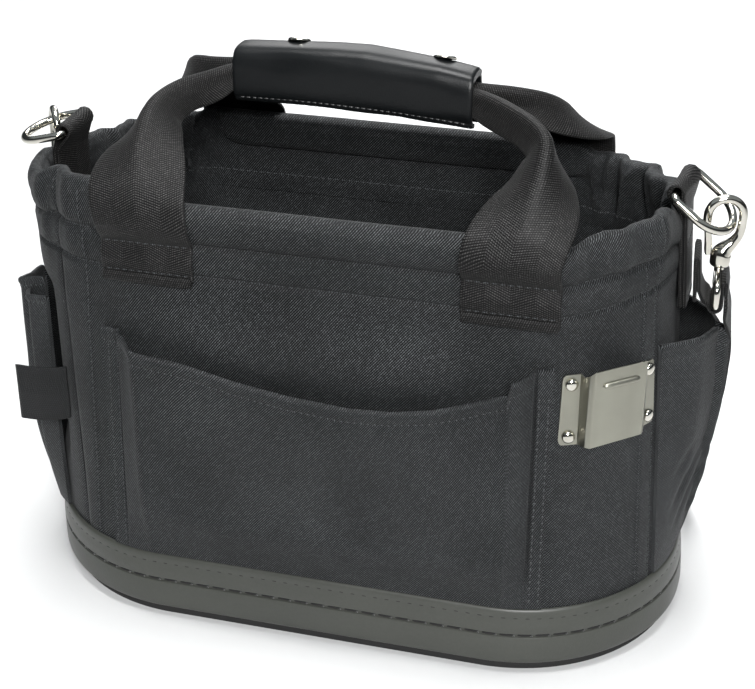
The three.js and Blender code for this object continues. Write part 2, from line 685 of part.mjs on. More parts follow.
// Ring tabs: a hairpin of webbing round the ring's bar, both tails sewn on the end wall
function endTab({ bar, axis, sign, tail, flat }) {
  const layer = TAB_THICKNESS + 0.4;
  const radius = RING_WIRE / 2 + 0.6 + TAB_THICKNESS / 2;
  const barX = Math.abs(bar.x);
  const tails = [186, 200, 214, 228, 237];
  const turns = steps(Math.PI + 0.5, -0.5, 10);
  const rows = [
    ...tails.map((z) => ({ x: tail(z), z, across: flat })),
    ...turns.map((a) => ({
      x: barX + radius * Math.cos(a),
      z: bar.z + radius * Math.sin(a),
      across: axis,
    })),
    ...tails.reverse().map((z) => ({ x: tail(z) + layer, z, across: flat })),
  ];
  const placed = rows.map(({ x, z, across }) => ({ at: V(x * sign, 0, z), across }));
  return exactStrip(placed, TAB_WIDTH, TAB_THICKNESS);
}

// Snap hooks: distances along the hook (bow positive) and across it, with the radius there
const HOOK_ROWS = [
  { a: -13.8, b: 0, r: 2.5 },
  { a: -11.4, b: 0, r: 2.7 },
  { a: -10.6, b: 0, r: 4.6 },
  { a: -8.8, b: 0, r: 5.3 },
  { a: -4.2, b: 0.2, r: 5.3 },
  { a: -1.0, b: 2.2, r: 4.0 },
  { a: 2.4, b: 5.4, r: 2.9 },
  { a: 6.4, b: 7.9, r: 2.3 },
  { a: 11.5, b: 8.9, r: 2.3 },
];
const BOW_CENTRE = 17;
const NOSE_END = 12.2;
const EYE = { top: -16.3, bar: -29, halfWidth: 15.8, wire: 4.0 };
const GATE_ROWS = [
  { a: -4.8, b: -6.9, w: 1.3 },
  { a: -2.6, b: -6.9, w: 1.9 },
  { a: 2.0, b: -7.2, w: 1.9 },
  { a: 6.4, b: -7.9, w: 1.8 },
  { a: 11.3, b: -8.7, w: 1.6 },
];
const GATE_HALF_DEPTH = 1.9;

const RIGHT_HOOK = frameAt(V(192.4, -3, 218.8), V(0.04, 0, 1), V(0.96, 0.28, 0));
const LEFT_WIRE = bowPoint(ringFrame(LEFT_END), 1.05);
const LEFT_SEAT = BOW_CENTRE + HOOK_BOW - HOOK_WIRE / 2 - RING_WIRE / 2 - 0.6;
const LEFT_HOOK = frameAt(LEFT_WIRE.clone().add(V(0, 0, -LEFT_SEAT)), V(0, 0, 1), V(-0.56, 0.83, 0));

function hookBody(at) {
  const bow = steps(Math.PI / 2, -Math.PI / 2, 10).map((turn) => (
    at(BOW_CENTRE + HOOK_BOW * Math.cos(turn), HOOK_BOW * Math.sin(turn))
  ));
  const points = [...HOOK_ROWS.map(({ a, b }) => at(a, b)), ...bow, at(NOSE_END, -HOOK_BOW)];
  const radii = points.map((_, i) => HOOK_ROWS[i]?.r ?? HOOK_WIRE / 2);
  return wire(points, radii, false, directionOf(at, 0, 0, 1));
}

function hookEye(at, side) {
  const eye = (a, b) => at(a, 0).addScaledVector(side, b);
  const w = EYE.halfWidth;
  const points = [
    eye(EYE.top, -w + 4), eye(EYE.top, 0), eye(EYE.top, w - 4),
    eye(EYE.top - 1.2, w - 1.2), eye(EYE.top - 4, w),
    eye(EYE.bar + 4, w), eye(EYE.bar + 1.2, w - 1.2),
    eye(EYE.bar, w - 4), eye(EYE.bar, 0), eye(EYE.bar, -w + 4),
    eye(EYE.bar + 1.2, -w + 1.2), eye(EYE.bar + 4, -w),
    eye(EYE.top - 4, -w), eye(EYE.top - 1.2, -w + 1.2),
  ];
  const radii = points.map(() => EYE.wire / 2);
  return wire(points, radii, true, directionOf(at, 1, 0, 0).cross(side));
}

function hookGate(at) {
  const d = GATE_HALF_DEPTH;
  return loft(GATE_ROWS.map(({ a, b, w }) => [
    at(a, b - w, -d), at(a, b + w, -d), at(a, b + w, d), at(a, b - w, d),
  ]));
}

// Shoulder strap: at the right a folded tail and a loop under the eye's bar, then a hump;
// at the left it passes over the eye's bar and its tail hangs outside
const RIGHT_SIDE = V(-0.09, 0.996, 0);
const LEFT_SIDE = V(0.2, 0.98, 0);
const STRAP_LOOP = EYE.wire / 2 + GAP + STRAP_THICKNESS / 2;
const loopRows = (from, to) => steps(from, to, 8).map((a) => (
  { n: STRAP_LOOP * Math.cos(a), z: STRAP_LOOP * Math.sin(a) }
));
const RIGHT_STRAP_END = [
  { n: -9.6, z: 3 },
  { n: -9.6, z: 21 },
  { n: -9.3, z: 22 },
  { n: -8.4, z: 22.5 },
  { n: -7.5, z: 22 },
  { n: -7.2, z: 21 },
  { n: -6.4, z: 12 },
  ...loopRows(Math.PI, 2 * Math.PI),
  { n: 3.4, z: 12.5 },
  { n: 3.7, z: 13.6 },
  { n: 4.7, z: 14.1 },
  { n: 5.7, z: 13.6 },
  { n: 6.0, z: 12.5 },
  { n: 6.4, z: 4 },
];
const LEFT_STRAP_END = [
  { n: -3.8, z: -14 },
  { n: -3.4, z: -6 },
  ...loopRows(Math.PI, 0),
  { n: 4.0, z: -8 },
  { n: 5.2, z: -26 },
];
// Strap route from the right eye behind the bag to the left eye, with the strap's facing
const STRAP_ROUTE = [
  { x: 199.2, y: 2, z: 184, nx: 0.99, ny: 0.12, nz: 0.05 },
  { x: 200.9, y: 8.5, z: 173, nx: 0.98, ny: 0.2, nz: 0.05 },
  { x: 200.2, y: 14.5, z: 160, nx: 0.97, ny: 0.24, nz: 0.0 },
  { x: 198.0, y: 20, z: 147, nx: 0.96, ny: 0.27, nz: 0.0 },
  { x: 195.0, y: 26, z: 130, nx: 0.95, ny: 0.3, nz: 0.05 },
  { x: 190.5, y: 38, z: 106, nx: 0.93, ny: 0.34, nz: 0.12 },
  { x: 185, y: 53, z: 78, nx: 0.85, ny: 0.38, nz: 0.32 },
  { x: 179, y: 71, z: 46, nx: 0.68, ny: 0.4, nz: 0.6 },
  { x: 169, y: 92, z: 15.5, nx: 0.4, ny: 0.3, nz: 0.87 },
  { x: 158, y: 111, z: 1.3, nx: 0.1, ny: 0.1, nz: 0.99 },
  { x: 143, y: 127, z: -1.45, nx: 0, ny: 0, nz: 1 },
  { x: 118, y: 141, z: -1.5, nx: 0, ny: 0, nz: 1 },
  { x: 80, y: 151, z: -1.5, nx: 0, ny: 0, nz: 1 },
  { x: 30, y: 156, z: -1.5, nx: 0, ny: 0, nz: 1 },
  { x: -30, y: 156, z: -1.5, nx: 0, ny: 0, nz: 1 },
  { x: -80, y: 151, z: -1.5, nx: 0, ny: 0, nz: 1 },
  { x: -118, y: 142, z: -1.5, nx: 0, ny: 0, nz: 1 },
  { x: -146, y: 129, z: -1.45, nx: 0, ny: 0, nz: 1 },
  { x: -162, y: 114, z: 1.8, nx: -0.1, ny: 0.1, nz: 0.99 },
  { x: -174, y: 96, z: 18.5, nx: -0.4, ny: 0.3, nz: 0.87 },
  { x: -184, y: 77, z: 50, nx: -0.68, ny: 0.42, nz: 0.6 },
  { x: -193, y: 60, z: 85, nx: -0.87, ny: 0.4, nz: 0.27 },
  { x: -199, y: 47, z: 118, nx: -0.93, ny: 0.35, nz: 0.08 },
  { x: -199.5, y: 40, z: 138, nx: -0.95, ny: 0.3, nz: 0 },
  { x: -199, y: 33, z: 152, nx: -0.97, ny: 0.22, nz: -0.1 },
  { x: -197.4, y: 27.5, z: 163, nx: -0.97, ny: 0.2, nz: -0.1 },
  { x: -190.5, y: 22, z: 172, nx: -0.97, ny: 0.2, nz: -0.1 },
];

function strapEnd(at, side, rows) {
  const bar = at(EYE.bar, 0);
  const out = V(side.y, -side.x, 0).normalize();
  if (out.dot(bar) < 0) out.negate();
  return rows.map(({ n, z }) => ({
    at: bar.clone().addScaledVector(out, n).add(V(0, 0, z)),
    across: side,
  }));
}

function shoulderStrap() {
  const right = strapEnd(RIGHT_HOOK, RIGHT_SIDE, RIGHT_STRAP_END);
  const left = strapEnd(LEFT_HOOK, LEFT_SIDE, LEFT_STRAP_END);
  const curve = new THREE.CatmullRomCurve3(
    [right[right.length - 1].at, ...STRAP_ROUTE.map((r) => V(r.x, r.y, r.z)), left[0].at],
    false,
    'centripetal',
  );
  const count = 36;
  const last = STRAP_ROUTE.length - 1;
  const route = steps(0, 1, count).slice(1, -1).map((u) => {
    const place = clamp((u * (last + 2) - 1) / last) * last;
    const low = Math.min(Math.floor(place), last - 1);
    const a = STRAP_ROUTE[low];
    const b = STRAP_ROUTE[low + 1];
    const k = place - low;
    const facing = V(mix(a.nx, b.nx, k), mix(a.ny, b.ny, k), mix(a.nz, b.nz, k));
    return { at: curve.getPoint(u), across: facing.cross(curve.getTangent(u)) };
  });
  return exactStrip(matched([...right, ...route, ...left]), STRAP_WIDTH, STRAP_THICKNESS);
}

function matched(rows) {
  const turned = [];
  rows.forEach(({ at, across }, i) => {
    const flip = i > 0 && across.dot(turned[i - 1].across) < 0;
    turned.push({ at, across: flip ? across.clone().negate() : across });
  });
  return turned;
}

// Side tag: a plain folded tape sewn in the left front seam
const TAG_ROWS = [
  { x: -150.2, y: -71.5 },
  { x: -154.5, y: -71.7 },
  { x: -160, y: -71.3 },
  { x: -166, y: -70.5 },
  { x: -174, y: -68.8 },
  { x: -184, y: -66.4 },
];
const TAG = { low: 96, high: 130, thickness: 1.4 };

function sideTag() {
  const line = TAG_ROWS.map((r) => V(r.x, r.y, 0));
  const side = sideNormals(line);
  const half = TAG.thickness / 2;
  return loft(line.map((p, i) => [
    p.clone().addScaledVector(side[i], half).setZ(TAG.low),
    p.clone().addScaledVector(side[i], half).setZ(TAG.high),
    p.clone().addScaledVector(side[i], -half).setZ(TAG.high),
    p.clone().addScaledVector(side[i], -half).setZ(TAG.low),
  ]));
}

// Named pieces
const root = new THREE.Group();
root.name = 'tool_bag';

function add(name, geometry, material) {
  geometry.translate(0, 0, FOOT_DROP);
  const mesh = new THREE.Mesh(geometry, material);
  mesh.name = name;
  root.add(mesh);
}

add('foot_plate', lofted(FOOT_ROWS, 8), cloth(RUBBER));
add('base_tray', lofted(TRAY_ROWS, 10), cloth(VINYL));
add('front_panel', panel(SEAM.frontLeft, SEAM.frontRight, FRONT_STOPS), cloth(NYLON));
add('right_end_panel', panel(SEAM.frontRight, SEAM.backRight, RIGHT_STOPS), cloth(NYLON));
add('back_panel', panel(SEAM.backRight, SEAM.backLeft, BACK_STOPS), cloth(NYLON));
add('left_end_panel', panel(SEAM.backLeft, SEAM.frontLeft + 10, LEFT_STOPS), cloth(NYLON));
add('front_pocket', frontPocket(), cloth(NYLON));
add('right_end_pocket', endPocket(RIGHT_POCKET), cloth(NYLON));
add('left_end_pocket', endPocket(LEFT_POCKET), cloth(NYLON));
add('left_sleeve_pocket', sleevePocket(), cloth(NYLON));
add('tape_clip', tapeClip(), metal(NICKEL));
CLIP_RIVETS.forEach((rivet, i) => add(`clip_rivet_${i + 1}`, clipRivet(rivet), metal(NICKEL)));
add('front_handle', foldedStrip(FRONT_HANDLE, 33), cloth(WEBBING));
add('back_handle', foldedStrip(BACK_HANDLE, 33), cloth(WEBBING));
add('handle_grip', handleGrip(), new THREE.MeshStandardMaterial({
  color: HIDE, roughness: 0.45, metalness: 0,
}));
add('grip_snap_1', gripSnap(-36), metal(NICKEL));
add('grip_snap_2', gripSnap(43), metal(NICKEL));
add('right_ring', endRing(RIGHT_END), metal(NICKEL));
add('left_ring', endRing(LEFT_END), metal(NICKEL));
add('right_tab', endTab(RIGHT_END), cloth(WEBBING));
add('left_tab', endTab(LEFT_END), cloth(WEBBING));
add('right_hook', hookBody(RIGHT_HOOK), metal(NICKEL));
add('right_gate', hookGate(RIGHT_HOOK), metal(NICKEL));
add('right_eye', hookEye(RIGHT_HOOK, RIGHT_SIDE), metal(NICKEL));
add('left_hook', hookBody(LEFT_HOOK), metal(NICKEL));
add('left_gate', hookGate(LEFT_HOOK), metal(NICKEL));
add('left_eye', hookEye(LEFT_HOOK, LEFT_SIDE), metal(NICKEL));
add('shoulder_strap', shoulderStrap(), cloth(WEBBING));
add('side_tag', sideTag(), cloth(TAPE));

export default root;
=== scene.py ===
import math

import bpy
import numpy as np
from mathutils import Matrix


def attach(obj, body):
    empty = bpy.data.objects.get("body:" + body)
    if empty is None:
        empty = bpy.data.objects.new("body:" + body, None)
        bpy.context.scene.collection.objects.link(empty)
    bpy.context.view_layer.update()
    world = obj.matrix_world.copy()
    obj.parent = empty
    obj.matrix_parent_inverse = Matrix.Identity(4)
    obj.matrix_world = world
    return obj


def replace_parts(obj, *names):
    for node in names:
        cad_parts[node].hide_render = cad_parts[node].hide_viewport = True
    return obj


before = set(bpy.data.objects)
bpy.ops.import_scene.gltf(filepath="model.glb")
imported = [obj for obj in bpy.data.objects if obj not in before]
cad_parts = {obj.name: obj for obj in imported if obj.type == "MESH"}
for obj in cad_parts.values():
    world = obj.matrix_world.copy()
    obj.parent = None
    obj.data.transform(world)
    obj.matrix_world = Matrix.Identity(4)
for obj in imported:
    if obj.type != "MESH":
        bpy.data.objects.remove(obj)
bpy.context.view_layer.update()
BAG = "bag"

# Sizes in millimetres; heights are above the band's lower lip, which stands DROP above the floor
DROP = 3.2
LOW_Z, RIM_Z = 3.0, 240.0
LOW = {"right": 181.7, "left": 181.7, "depth": 93.0, "corner": 91.4}
RIM = {"right": 169.4, "left": 182.0, "depth": 71.5, "corner": 67.5}
TUCK = 12.6
SEAMS = (-1.39, 1.72, 3.28, 6.5)
POCKET_FOOT = 36.6
STEP_LENGTH = 95.0
RIM_ROWS = (202.0, 219.0)
POCKET_WALL = 2.0
WEB_HALF = 25.4
STRAP_WIDTH, STRAP_THICK = 25.4, 2.0
UP = np.array([0, 0, 1.0])


def smooth(k):
    k = np.clip(k, 0, 1)
    return k * k * (3 - 2 * k)


def mix(a, b, k):
    return a + (b - a) * k


def bell(x, centre, width):
    return np.exp(-(((x - centre) / width) ** 2))


def chain(*parts):
    return np.concatenate(parts)


def grid(a, b):
    return np.stack(np.meshgrid(a, b, indexing="ij"), -1)


def on_line(at, run, points):
    """Points of a line at the given distances along it."""
    return np.stack([np.interp(at, run, points[:, k]) for k in range(3)], -1)


def columns(table, at, *wanted):
    """Columns of a table, read at values of its first column."""
    return [np.interp(at, table[:, 0], table[:, q]) for q in wanted]


def by_row(table, k, column):
    """Column of a table, read at row numbers with fractions."""
    return np.interp(k, np.arange(len(table)), table[:, column])


def noise(u, v, seed):
    """Soft value noise from -1 to 1, one cell per unit."""
    table = np.random.default_rng(seed).uniform(-1, 1, (64, 64))
    u, v = np.broadcast_arrays(np.asarray(u, float), np.asarray(v, float))
    i, j = np.floor(u).astype(int), np.floor(v).astype(int)
    a, b = smooth(u - i), smooth(v - j)
    at = lambda p, q: table[np.mod(p, 64), np.mod(q, 64)]
    return mix(mix(at(i, j), at(i + 1, j), a), mix(at(i, j + 1), at(i + 1, j + 1), a), b)


def outline(z):
    """Share of the height, corner radius and half lengths of the straight sides at height z."""
    k = (z - LOW_Z) / (RIM_Z - LOW_Z)
    corner = mix(LOW["corner"], RIM["corner"], k)
    return k, corner, *(mix(LOW[n], RIM[n], k) - corner for n in ("right", "left", "depth"))


# Wall outline: step -1..1 front, 2..3 right end, 4..6 back, 7..8 left end, corners between
def wall(step, z, off=0.0):
    step, z, off = np.broadcast_arrays(*(np.asarray(q, float) for q in (step, z, off)))
    k, corner, right, left, straight = outline(z)
    r = corner + off
    u = np.mod(step + 1, 10)
    seg = np.minimum(np.floor(u).astype(int), 9)
    part = u - seg
    s, c = np.sin(part * math.pi / 2), np.cos(part * math.pi / 2)
    front = mix(-left, right, u / 2)
    back = mix(right, -left, (u - 5) / 2)
    x = np.choose(seg, [
        front, front, right + r * s, right + r, right + r * c,
        back, back, -left - r * s, -left - r, -left - r * c,
    ])
    y = np.choose(seg, [
        -straight - r, -straight - r, -straight - r * c, mix(-straight, straight, part),
        straight + r * s, straight + r, straight + r, straight + r * c,
        mix(straight, -straight, part), -straight - r * s,
    ])
    x = x + TUCK * k * smooth((y + 10) / 45) * smooth((-x - 100) / 60)
    return np.stack([x, y, z], -1)


def front_step(x, z):
    _, corner, right, left, _ = outline(z)
    past = 1 + np.arcsin(np.clip((x - right) / corner, 0, 1)) / (math.pi / 2)
    before = -1 - np.arcsin(np.clip((-left - x) / corner, 0, 1)) / (math.pi / 2)
    inside = 2 * (x + left) / (left + right) - 1
    return np.where(x > right, past, np.where(x < -left, before, inside))


def closed_up(points):
    return chain(points, points[:1])


def run_of(points):
    """Distance along a line or, as a mean, along matching loops."""
    gaps = np.linalg.norm(np.diff(points, axis=0), axis=-1)
    return np.append(0, np.cumsum(gaps.reshape(len(gaps), -1).mean(1)))


def even(start, stop, gap, z=140.0):
    """Wall steps from start to stop, about gap apart round the wall, and their distance."""
    fine = np.linspace(start, stop, 3000)
    run = run_of(wall(fine, z))
    at = np.linspace(0, run[-1], max(2, round(run[-1] / gap)) + 1)
    return np.interp(at, run, fine), at


# Meshes
def linked(name, data):
    made = bpy.data.objects.new(name, data)
    bpy.context.scene.collection.objects.link(made)
    return made


def make(name, points, faces, uvs, material, slot, body=BAG, angle=40):
    points = np.asarray(points, float)
    mesh = bpy.data.meshes.new(name)
    mesh.from_pydata(((points + (0, 0, DROP)) * 0.001).tolist(), [], faces)
    mesh.uv_layers.new(name="cloth").data.foreach_set("uv", np.asarray(uvs, np.float32).ravel())
    mesh.materials.append(material)
    mesh.shade_smooth()
    mesh.set_sharp_from_angle(angle=math.radians(angle))
    obj = linked(name, mesh)
    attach(obj, body)
    return obj


def loft_faces(loops, closed=False, caps="pair", uv=None):
    """Points, faces and face-corner coordinates of a solid through matching loops."""
    loops = np.asarray(loops, float)
    n, m = loops.shape[:2]
    rows = n if closed else n - 1
    i, j = (q.ravel() for q in np.meshgrid(np.arange(rows), np.arange(m), indexing="ij"))
    at = lambda p, q: (p % n) * m + q % m
    quads = np.stack([at(i, j), at(i + 1, j), at(i + 1, j + 1), at(i, j + 1)], 1)
    if uv is None:
        uv = grid(run_of(closed_up(loops)), run_of(closed_up(loops[n // 2])))
    faces = quads.tolist()
    corners = np.stack([uv[i, j], uv[i + 1, j], uv[i + 1, j + 1], uv[i, j + 1]], 1).tolist()
    if not closed:
        start = [list(range(m))]
        if caps == "pair":
            start = [[k, k + 1, m - 2 - k, m - 1 - k] for k in range(m // 2 - 1)]
        end = [[(n - 1) * m + q for q in f[::-1]] for f in start]
        faces += start + end
        corners += [[uv[q // m, q % m].tolist() for q in f] for f in start + end]
    points = loops.reshape(-1, 3)
    a, b, c, d = (points[quads[:, q]] for q in range(4))
    way = -1 if (a * np.cross(c, d - b)).sum() < 0 else 1
    return points, [f[::way] for f in faces], [q for c in corners for q in c[::way]]


def loft(name, loops, material, closed=False, caps="pair", uv=None, **more):
    return make(name, *loft_faces(loops, closed, caps, uv), material, **more)


def joined(name, parts, material, **more):
    """One piece from several lofts."""
    points, faces, corners, shift = [], [], [], 0
    for p, f, c in parts:
        points.append(p)
        faces += [[q + shift for q in face] for face in f]
        corners += c
        shift += len(p)
    return make(name, chain(*points), faces, corners, material, **more)


def shell(outer, inner):
    """Loops through an outer skin and back through the inner one."""
    return np.concatenate([outer, inner[:, ::-1]], 1)


def tube(points, a, b, count):
    """Loops of count points round a line, on ovals with half axes a and b."""
    turn = np.arange(count)[:, None] * 2 * math.pi / count
    return points[:, None] + a[:, None] * np.cos(turn) + b[:, None] * np.sin(turn)


def rounded_end(k):
    """Share of the thickness, rounded off where k goes from 0.96 to 1."""
    return np.sqrt(np.maximum(1 - ((k - 0.96) / 0.04).clip(0, 1) ** 2, 0.04))


def curve(points, count):
    """Centripetal curve through the points, count + 1 samples evenly by parameter."""
    p = np.asarray(points, float)
    p = chain([2 * p[0] - p[1]], p, [2 * p[-1] - p[-2]])
    n = len(p) - 3
    out = []
    for t in np.linspace(0, n, count + 1):
        i = min(int(t), n - 1)
        w = t - i
        q = p[i:i + 4]
        d = np.maximum(np.linalg.norm(np.diff(q, axis=0), axis=1), 1e-6) ** 0.5
        slope = np.diff(q, axis=0) / d[:, None]
        m1 = (slope[0] - (q[2] - q[0]) / (d[0] + d[1]) + slope[1]) * d[1]
        m2 = (slope[1] - (q[3] - q[1]) / (d[1] + d[2]) + slope[2]) * d[1]
        out.append(q[1] + m1 * w + (3 * (q[2] - q[1]) - 2 * m1 - m2) * w ** 2
                   + (2 * (q[1] - q[2]) + m1 + m2) * w ** 3)
    return np.array(out)


def unit(v):
    return v / np.maximum(np.linalg.norm(v, axis=-1, keepdims=True), 1e-9)


def tangents(points, closed=False):
    if closed:
        return unit(np.roll(points, -1, 0) - np.roll(points, 1, 0))
    return unit(np.gradient(points, axis=0))


# Materials
TONE_STOPS = (0.12, 0.4, 0.65, 1.0)
SHINE_SPREAD = 0.25


def tree(name, rough, metal=0.0, sheen=0.0, spec=0.5):
    material = bpy.data.materials.new(name)
    material.use_nodes = True
    shader = material.node_tree.nodes["Principled BSDF"]
    values = {"Roughness": rough, "Metallic": metal, "Specular IOR Level": spec,
              "Sheen Weight": sheen, "Sheen Roughness": 0.4}
    for key, value in values.items():
        shader.inputs[key].default_value = value
    return material, material.node_tree, shader


def feed(net, socket, value):
    if isinstance(value, bpy.types.NodeSocket):
        net.links.new(value, socket)
    else:
        socket.default_value = value


def node(net, kind, **inputs):
    made = net.nodes.new(kind)
    for key, value in inputs.items():
        feed(net, made.inputs[key], value)
    return made


def maths(net, operation, a, b=0.0, c=0.0):
    made = net.nodes.new("ShaderNodeMath")
    made.operation = operation
    for k, value in enumerate((a, b, c)):
        feed(net, made.inputs[k], value)
    return made.outputs[0]


def times(net, a, b, plus=0.0):
    return maths(net, "MULTIPLY_ADD", a, b, plus)


def cloth_uv(net):
    uv = net.nodes.new("ShaderNodeUVMap")
    uv.uv_map = "cloth"
    split = node(net, "ShaderNodeSeparateXYZ", Vector=uv.outputs[0])
    return uv.outputs[0], split.outputs[0], split.outputs[1]


def coordinate(net, kind):
    return net.nodes.new("ShaderNodeTexCoord").outputs[kind]


def speckle(net, place, scale, detail=2.0):
    return node(net, "ShaderNodeTexNoise", Vector=place, Scale=scale, Detail=detail).outputs[0]


def ramp(net, factor, *stops):
    made = node(net, "ShaderNodeValToRGB", Fac=factor)
    elements = made.color_ramp.elements
    while len(elements) < len(stops):
        elements.new(0.5)
    for element, (place, color) in zip(elements, stops):
        element.position = place
        element.color = (*color, 1)
    return made.outputs[0]


def bump(net, shader, height, strength, distance):
    made = node(net, "ShaderNodeBump", Height=height, Strength=strength, Distance=distance)
    net.links.new(made.outputs[0], shader.inputs["Normal"])


def woven(net, shader, uv, a, b, tones, share):
    """Raised lines of yarn count a, broken up by count b; the raised yarn is painted lighter than the
    grooves (painted highlight and shade), each crossing gets a painted glint of random strength, over a
    mottle of random tone.
    """
    hump = lambda q: maths(net, "PINGPONG", times(net, q, 2.0), 1.0)
    # painted shade and highlight: yarn humps lighter, grooves between them darker
    point = times(net, hump(a), times(net, hump(b), share, 1 - share))
    cell = node(net, "ShaderNodeCombineXYZ", X=maths(net, "FLOOR", a), Y=maths(net, "FLOOR", b)).outputs[0]
    own = node(net, "ShaderNodeTexWhiteNoise", Vector=cell)
    own.noise_dimensions = "2D"
    # painted highlight: a glint of random strength for each crossing
    shine = maths(net, "POWER", own.outputs["Value"], 2.0)
    shine = times(net, shine, SHINE_SPREAD, 1 - SHINE_SPREAD / 3)
    fine = times(net, speckle(net, uv, 1.3, 2), 0.35, 0.82)
    broad = times(net, speckle(net, uv, 0.018, 3), 0.4, 0.8)
    lit = times(net, times(net, point, shine), times(net, fine, broad))
    net.links.new(ramp(net, lit, *zip(TONE_STOPS, tones)), shader.inputs["Base Color"])
    bump(net, shader, point, 0.5, 0.0005)


def nylon(name, tones, count):
    """Twill of count lines to the millimetre along the cloth."""
    material, net, shader = tree(name, 0.6, sheen=0.03, spec=0.16)
    uv, u, v = cloth_uv(net)
    a = times(net, times(net, v, -0.87, u), count)
    b = times(net, times(net, v, 0.9, u), count * 0.8)
    woven(net, shader, uv, a, b, tones, 0.3)
    return material


def webbing(name, tones):
    """Herringbone whose lines turn back every 12.7 mm of the width."""
    material, net, shader = tree(name, 0.55, sheen=0.03, spec=0.18)
    uv, u, v = cloth_uv(net)
    fold = maths(net, "PINGPONG", v, 12.7)
    a = times(net, times(net, fold, 0.4, u), 0.8)
    woven(net, shader, uv, a, times(net, v, 0.83), tones, 0.5)
    return material


def tinted(net, shader, fine, share, broad, *stops):
    blend = times(net, fine, share, times(net, broad, 1 - share))
    net.links.new(ramp(net, blend, *stops), shader.inputs["Base Color"])


def roughen(net, shader, value, low, high):
    """Roughness from low to high as the value goes from 0.3 to 0.7."""
    limits = {"From Min": 0.3, "From Max": 0.7, "To Min": low, "To Max": high}
    made = node(net, "ShaderNodeMapRange", Value=value, **limits)
    net.links.new(made.outputs[0], shader.inputs["Roughness"])


def grained(name, dark, light, rough, scale, strength, distance, **more):
    material, net, shader = tree(name, rough, **more)
    place = coordinate(net, "Object")
    cells = node(net, "ShaderNodeTexVoronoi", Vector=place, Scale=scale).outputs[0]
    fine = speckle(net, place, scale * 0.6, 4)
    broad = speckle(net, place, 14, 3)
    tinted(net, shader, fine, 0.35, broad, (0.3, dark), (0.72, light))
    roughen(net, shader, broad, rough - 0.06, rough + 0.08)
    bump(net, shader, times(net, fine, 0.5, cells), strength, distance)
    return material


def plated(name, dark, light, rough, stretch, strength):
    material, net, shader = tree(name, rough, metal=1.0)
    place = coordinate(net, "Object")
    brushed = node(net, "ShaderNodeMapping", Vector=place, Scale=stretch).outputs[0]
    hair = speckle(net, brushed, 60, 4)
    broad = speckle(net, place, 45, 3)
    tinted(net, shader, hair, 0.4, broad, (0.3, dark), (0.7, light))
    roughen(net, shader, broad, rough * 0.75, rough * 1.35)
    bump(net, shader, hair, strength, 0.0002)
    return material


def greys(*values, warm=-0.06):
    return [(q * (1 + warm), q, q * (1 - warm * 0.7)) for q in values]


NYLON = nylon("black_nylon", greys(0.0013, 0.0042, 0.036, 0.115), 0.73)
POCKET_NYLON = nylon("pocket_nylon", greys(0.002, 0.0075, 0.04, 0.115), 0.78)
WEBBING = webbing("black_webbing", greys(0.001, 0.003, 0.021, 0.085, warm=0.03))
STRAP = webbing("strap_webbing", greys(0.001, 0.003, 0.018, 0.08, warm=0.0))
THREAD = webbing("black_thread", greys(0.012, 0.026, 0.06, 0.13))
GREY_THREAD = webbing("grey_thread", greys(0.05, 0.08, 0.13, 0.24, warm=0.0))
TAPE = webbing("tag_tape", greys(0.004, 0.008, 0.014, 0.025))
VINYL = grained("olive_vinyl", (0.031, 0.033, 0.028), (0.044, 0.046, 0.039), 0.4, 900, 0.12, 0.0003)
FOOT = grained("black_rubber", (0.004, 0.004, 0.004), (0.01, 0.01, 0.01), 0.7, 700, 0.3, 0.0004)
HIDE = grained("black_leather", (0.0024, 0.003, 0.0034), (0.006, 0.0068, 0.0074), 0.36, 1300, 0.16, 0.0003,
               spec=0.22)
SATIN = plated("satin_nickel", (0.25, 0.246, 0.21), (0.33, 0.326, 0.275), 0.34, (1, 1, 0.12), 0.06)
BRIGHT = plated("bright_nickel", (0.5, 0.48, 0.42), (0.7, 0.68, 0.62), 0.1, (1, 1, 1), 0.02)


# Stitches: short rounded threads along a line on a surface
STITCH_SINK = 0.1


def stitch_parts(points, normals, pitch=4.2, length=3.1, radius=0.45):
    run = run_of(points)
    count = max(1, int(run[-1] / pitch))
    at = (np.arange(count) + 0.5) * run[-1] / count
    centre = on_line(at, run, points)
    ahead = unit(on_line(at + 0.6, run, points) - on_line(at - 0.6, run, points))
    rise = unit(on_line(at, run, normals))
    side = unit(np.cross(ahead, rise))
    rise = np.cross(side, ahead)
    stops = np.array([[-1], [-0.82], [-0.4], [0.4], [0.82], [1]]) * length / 2
    width = np.array([[0.25], [0.75], [1], [1], [0.75], [0.25]]) * radius
    bend = np.array([[-0.7], [-0.15], [0.15], [0.15], [-0.15], [-0.7]]) * radius - STITCH_SINK
    parts = []
    for k in range(count):
        line = centre[k] + ahead[k] * stops + rise[k] * bend
        parts.append(loft_faces(tube(line, side[k] * width, rise[k] * width, 6), caps="ngon"))
    return parts


def wall_line(steps, z, off):
    points = wall(steps, z, off)
    return points, wall(steps, z, np.asarray(off) + 1) - points


# Body panels: rolled stiff hem along front and back, soft gathered hem round the ends
HEM_TOP = 237.5
PANEL = np.array([
    # z, outer, soft outer
    [7.4, 0, 0], [185, 0, 0], [191, 0.2, 0.1], [200, 0.4, 0.3], [202, -1.6, -1.3], [204, 0.8, 0.6],
    [211, 1.7, 1.3], [217, 0.6, 0.4], [219, -2.3, -1.7], [221, 1.4, 0.8], [224, 3.6, 2.1], [228, 4.9, 2.9],
    [232, 5.2, 3.1], [235, 4.7, 2.7], [HEM_TOP, 3.4, 1.8],
])
GATHERS = np.array([
    # from, to, depth, waves
    [-1.85, -1.08, 1.3, 3], [1.12, 1.95, 1.2, 3], [3.05, 3.92, 3.0, 4], [6.08, 6.95, 3.0, 4],
])
HEIGHTS = chain(
    np.linspace(7.4, 182, 62), np.linspace(184, 189.6, 4), [190.2, 190.8], np.linspace(192, HEM_TOP, 46))


def turned(step):
    return np.where(step > 8, step - 10, step)


def window(at, a, b, c, d):
    return smooth((at - a) / (b - a)) * smooth((d - at) / (d - c))


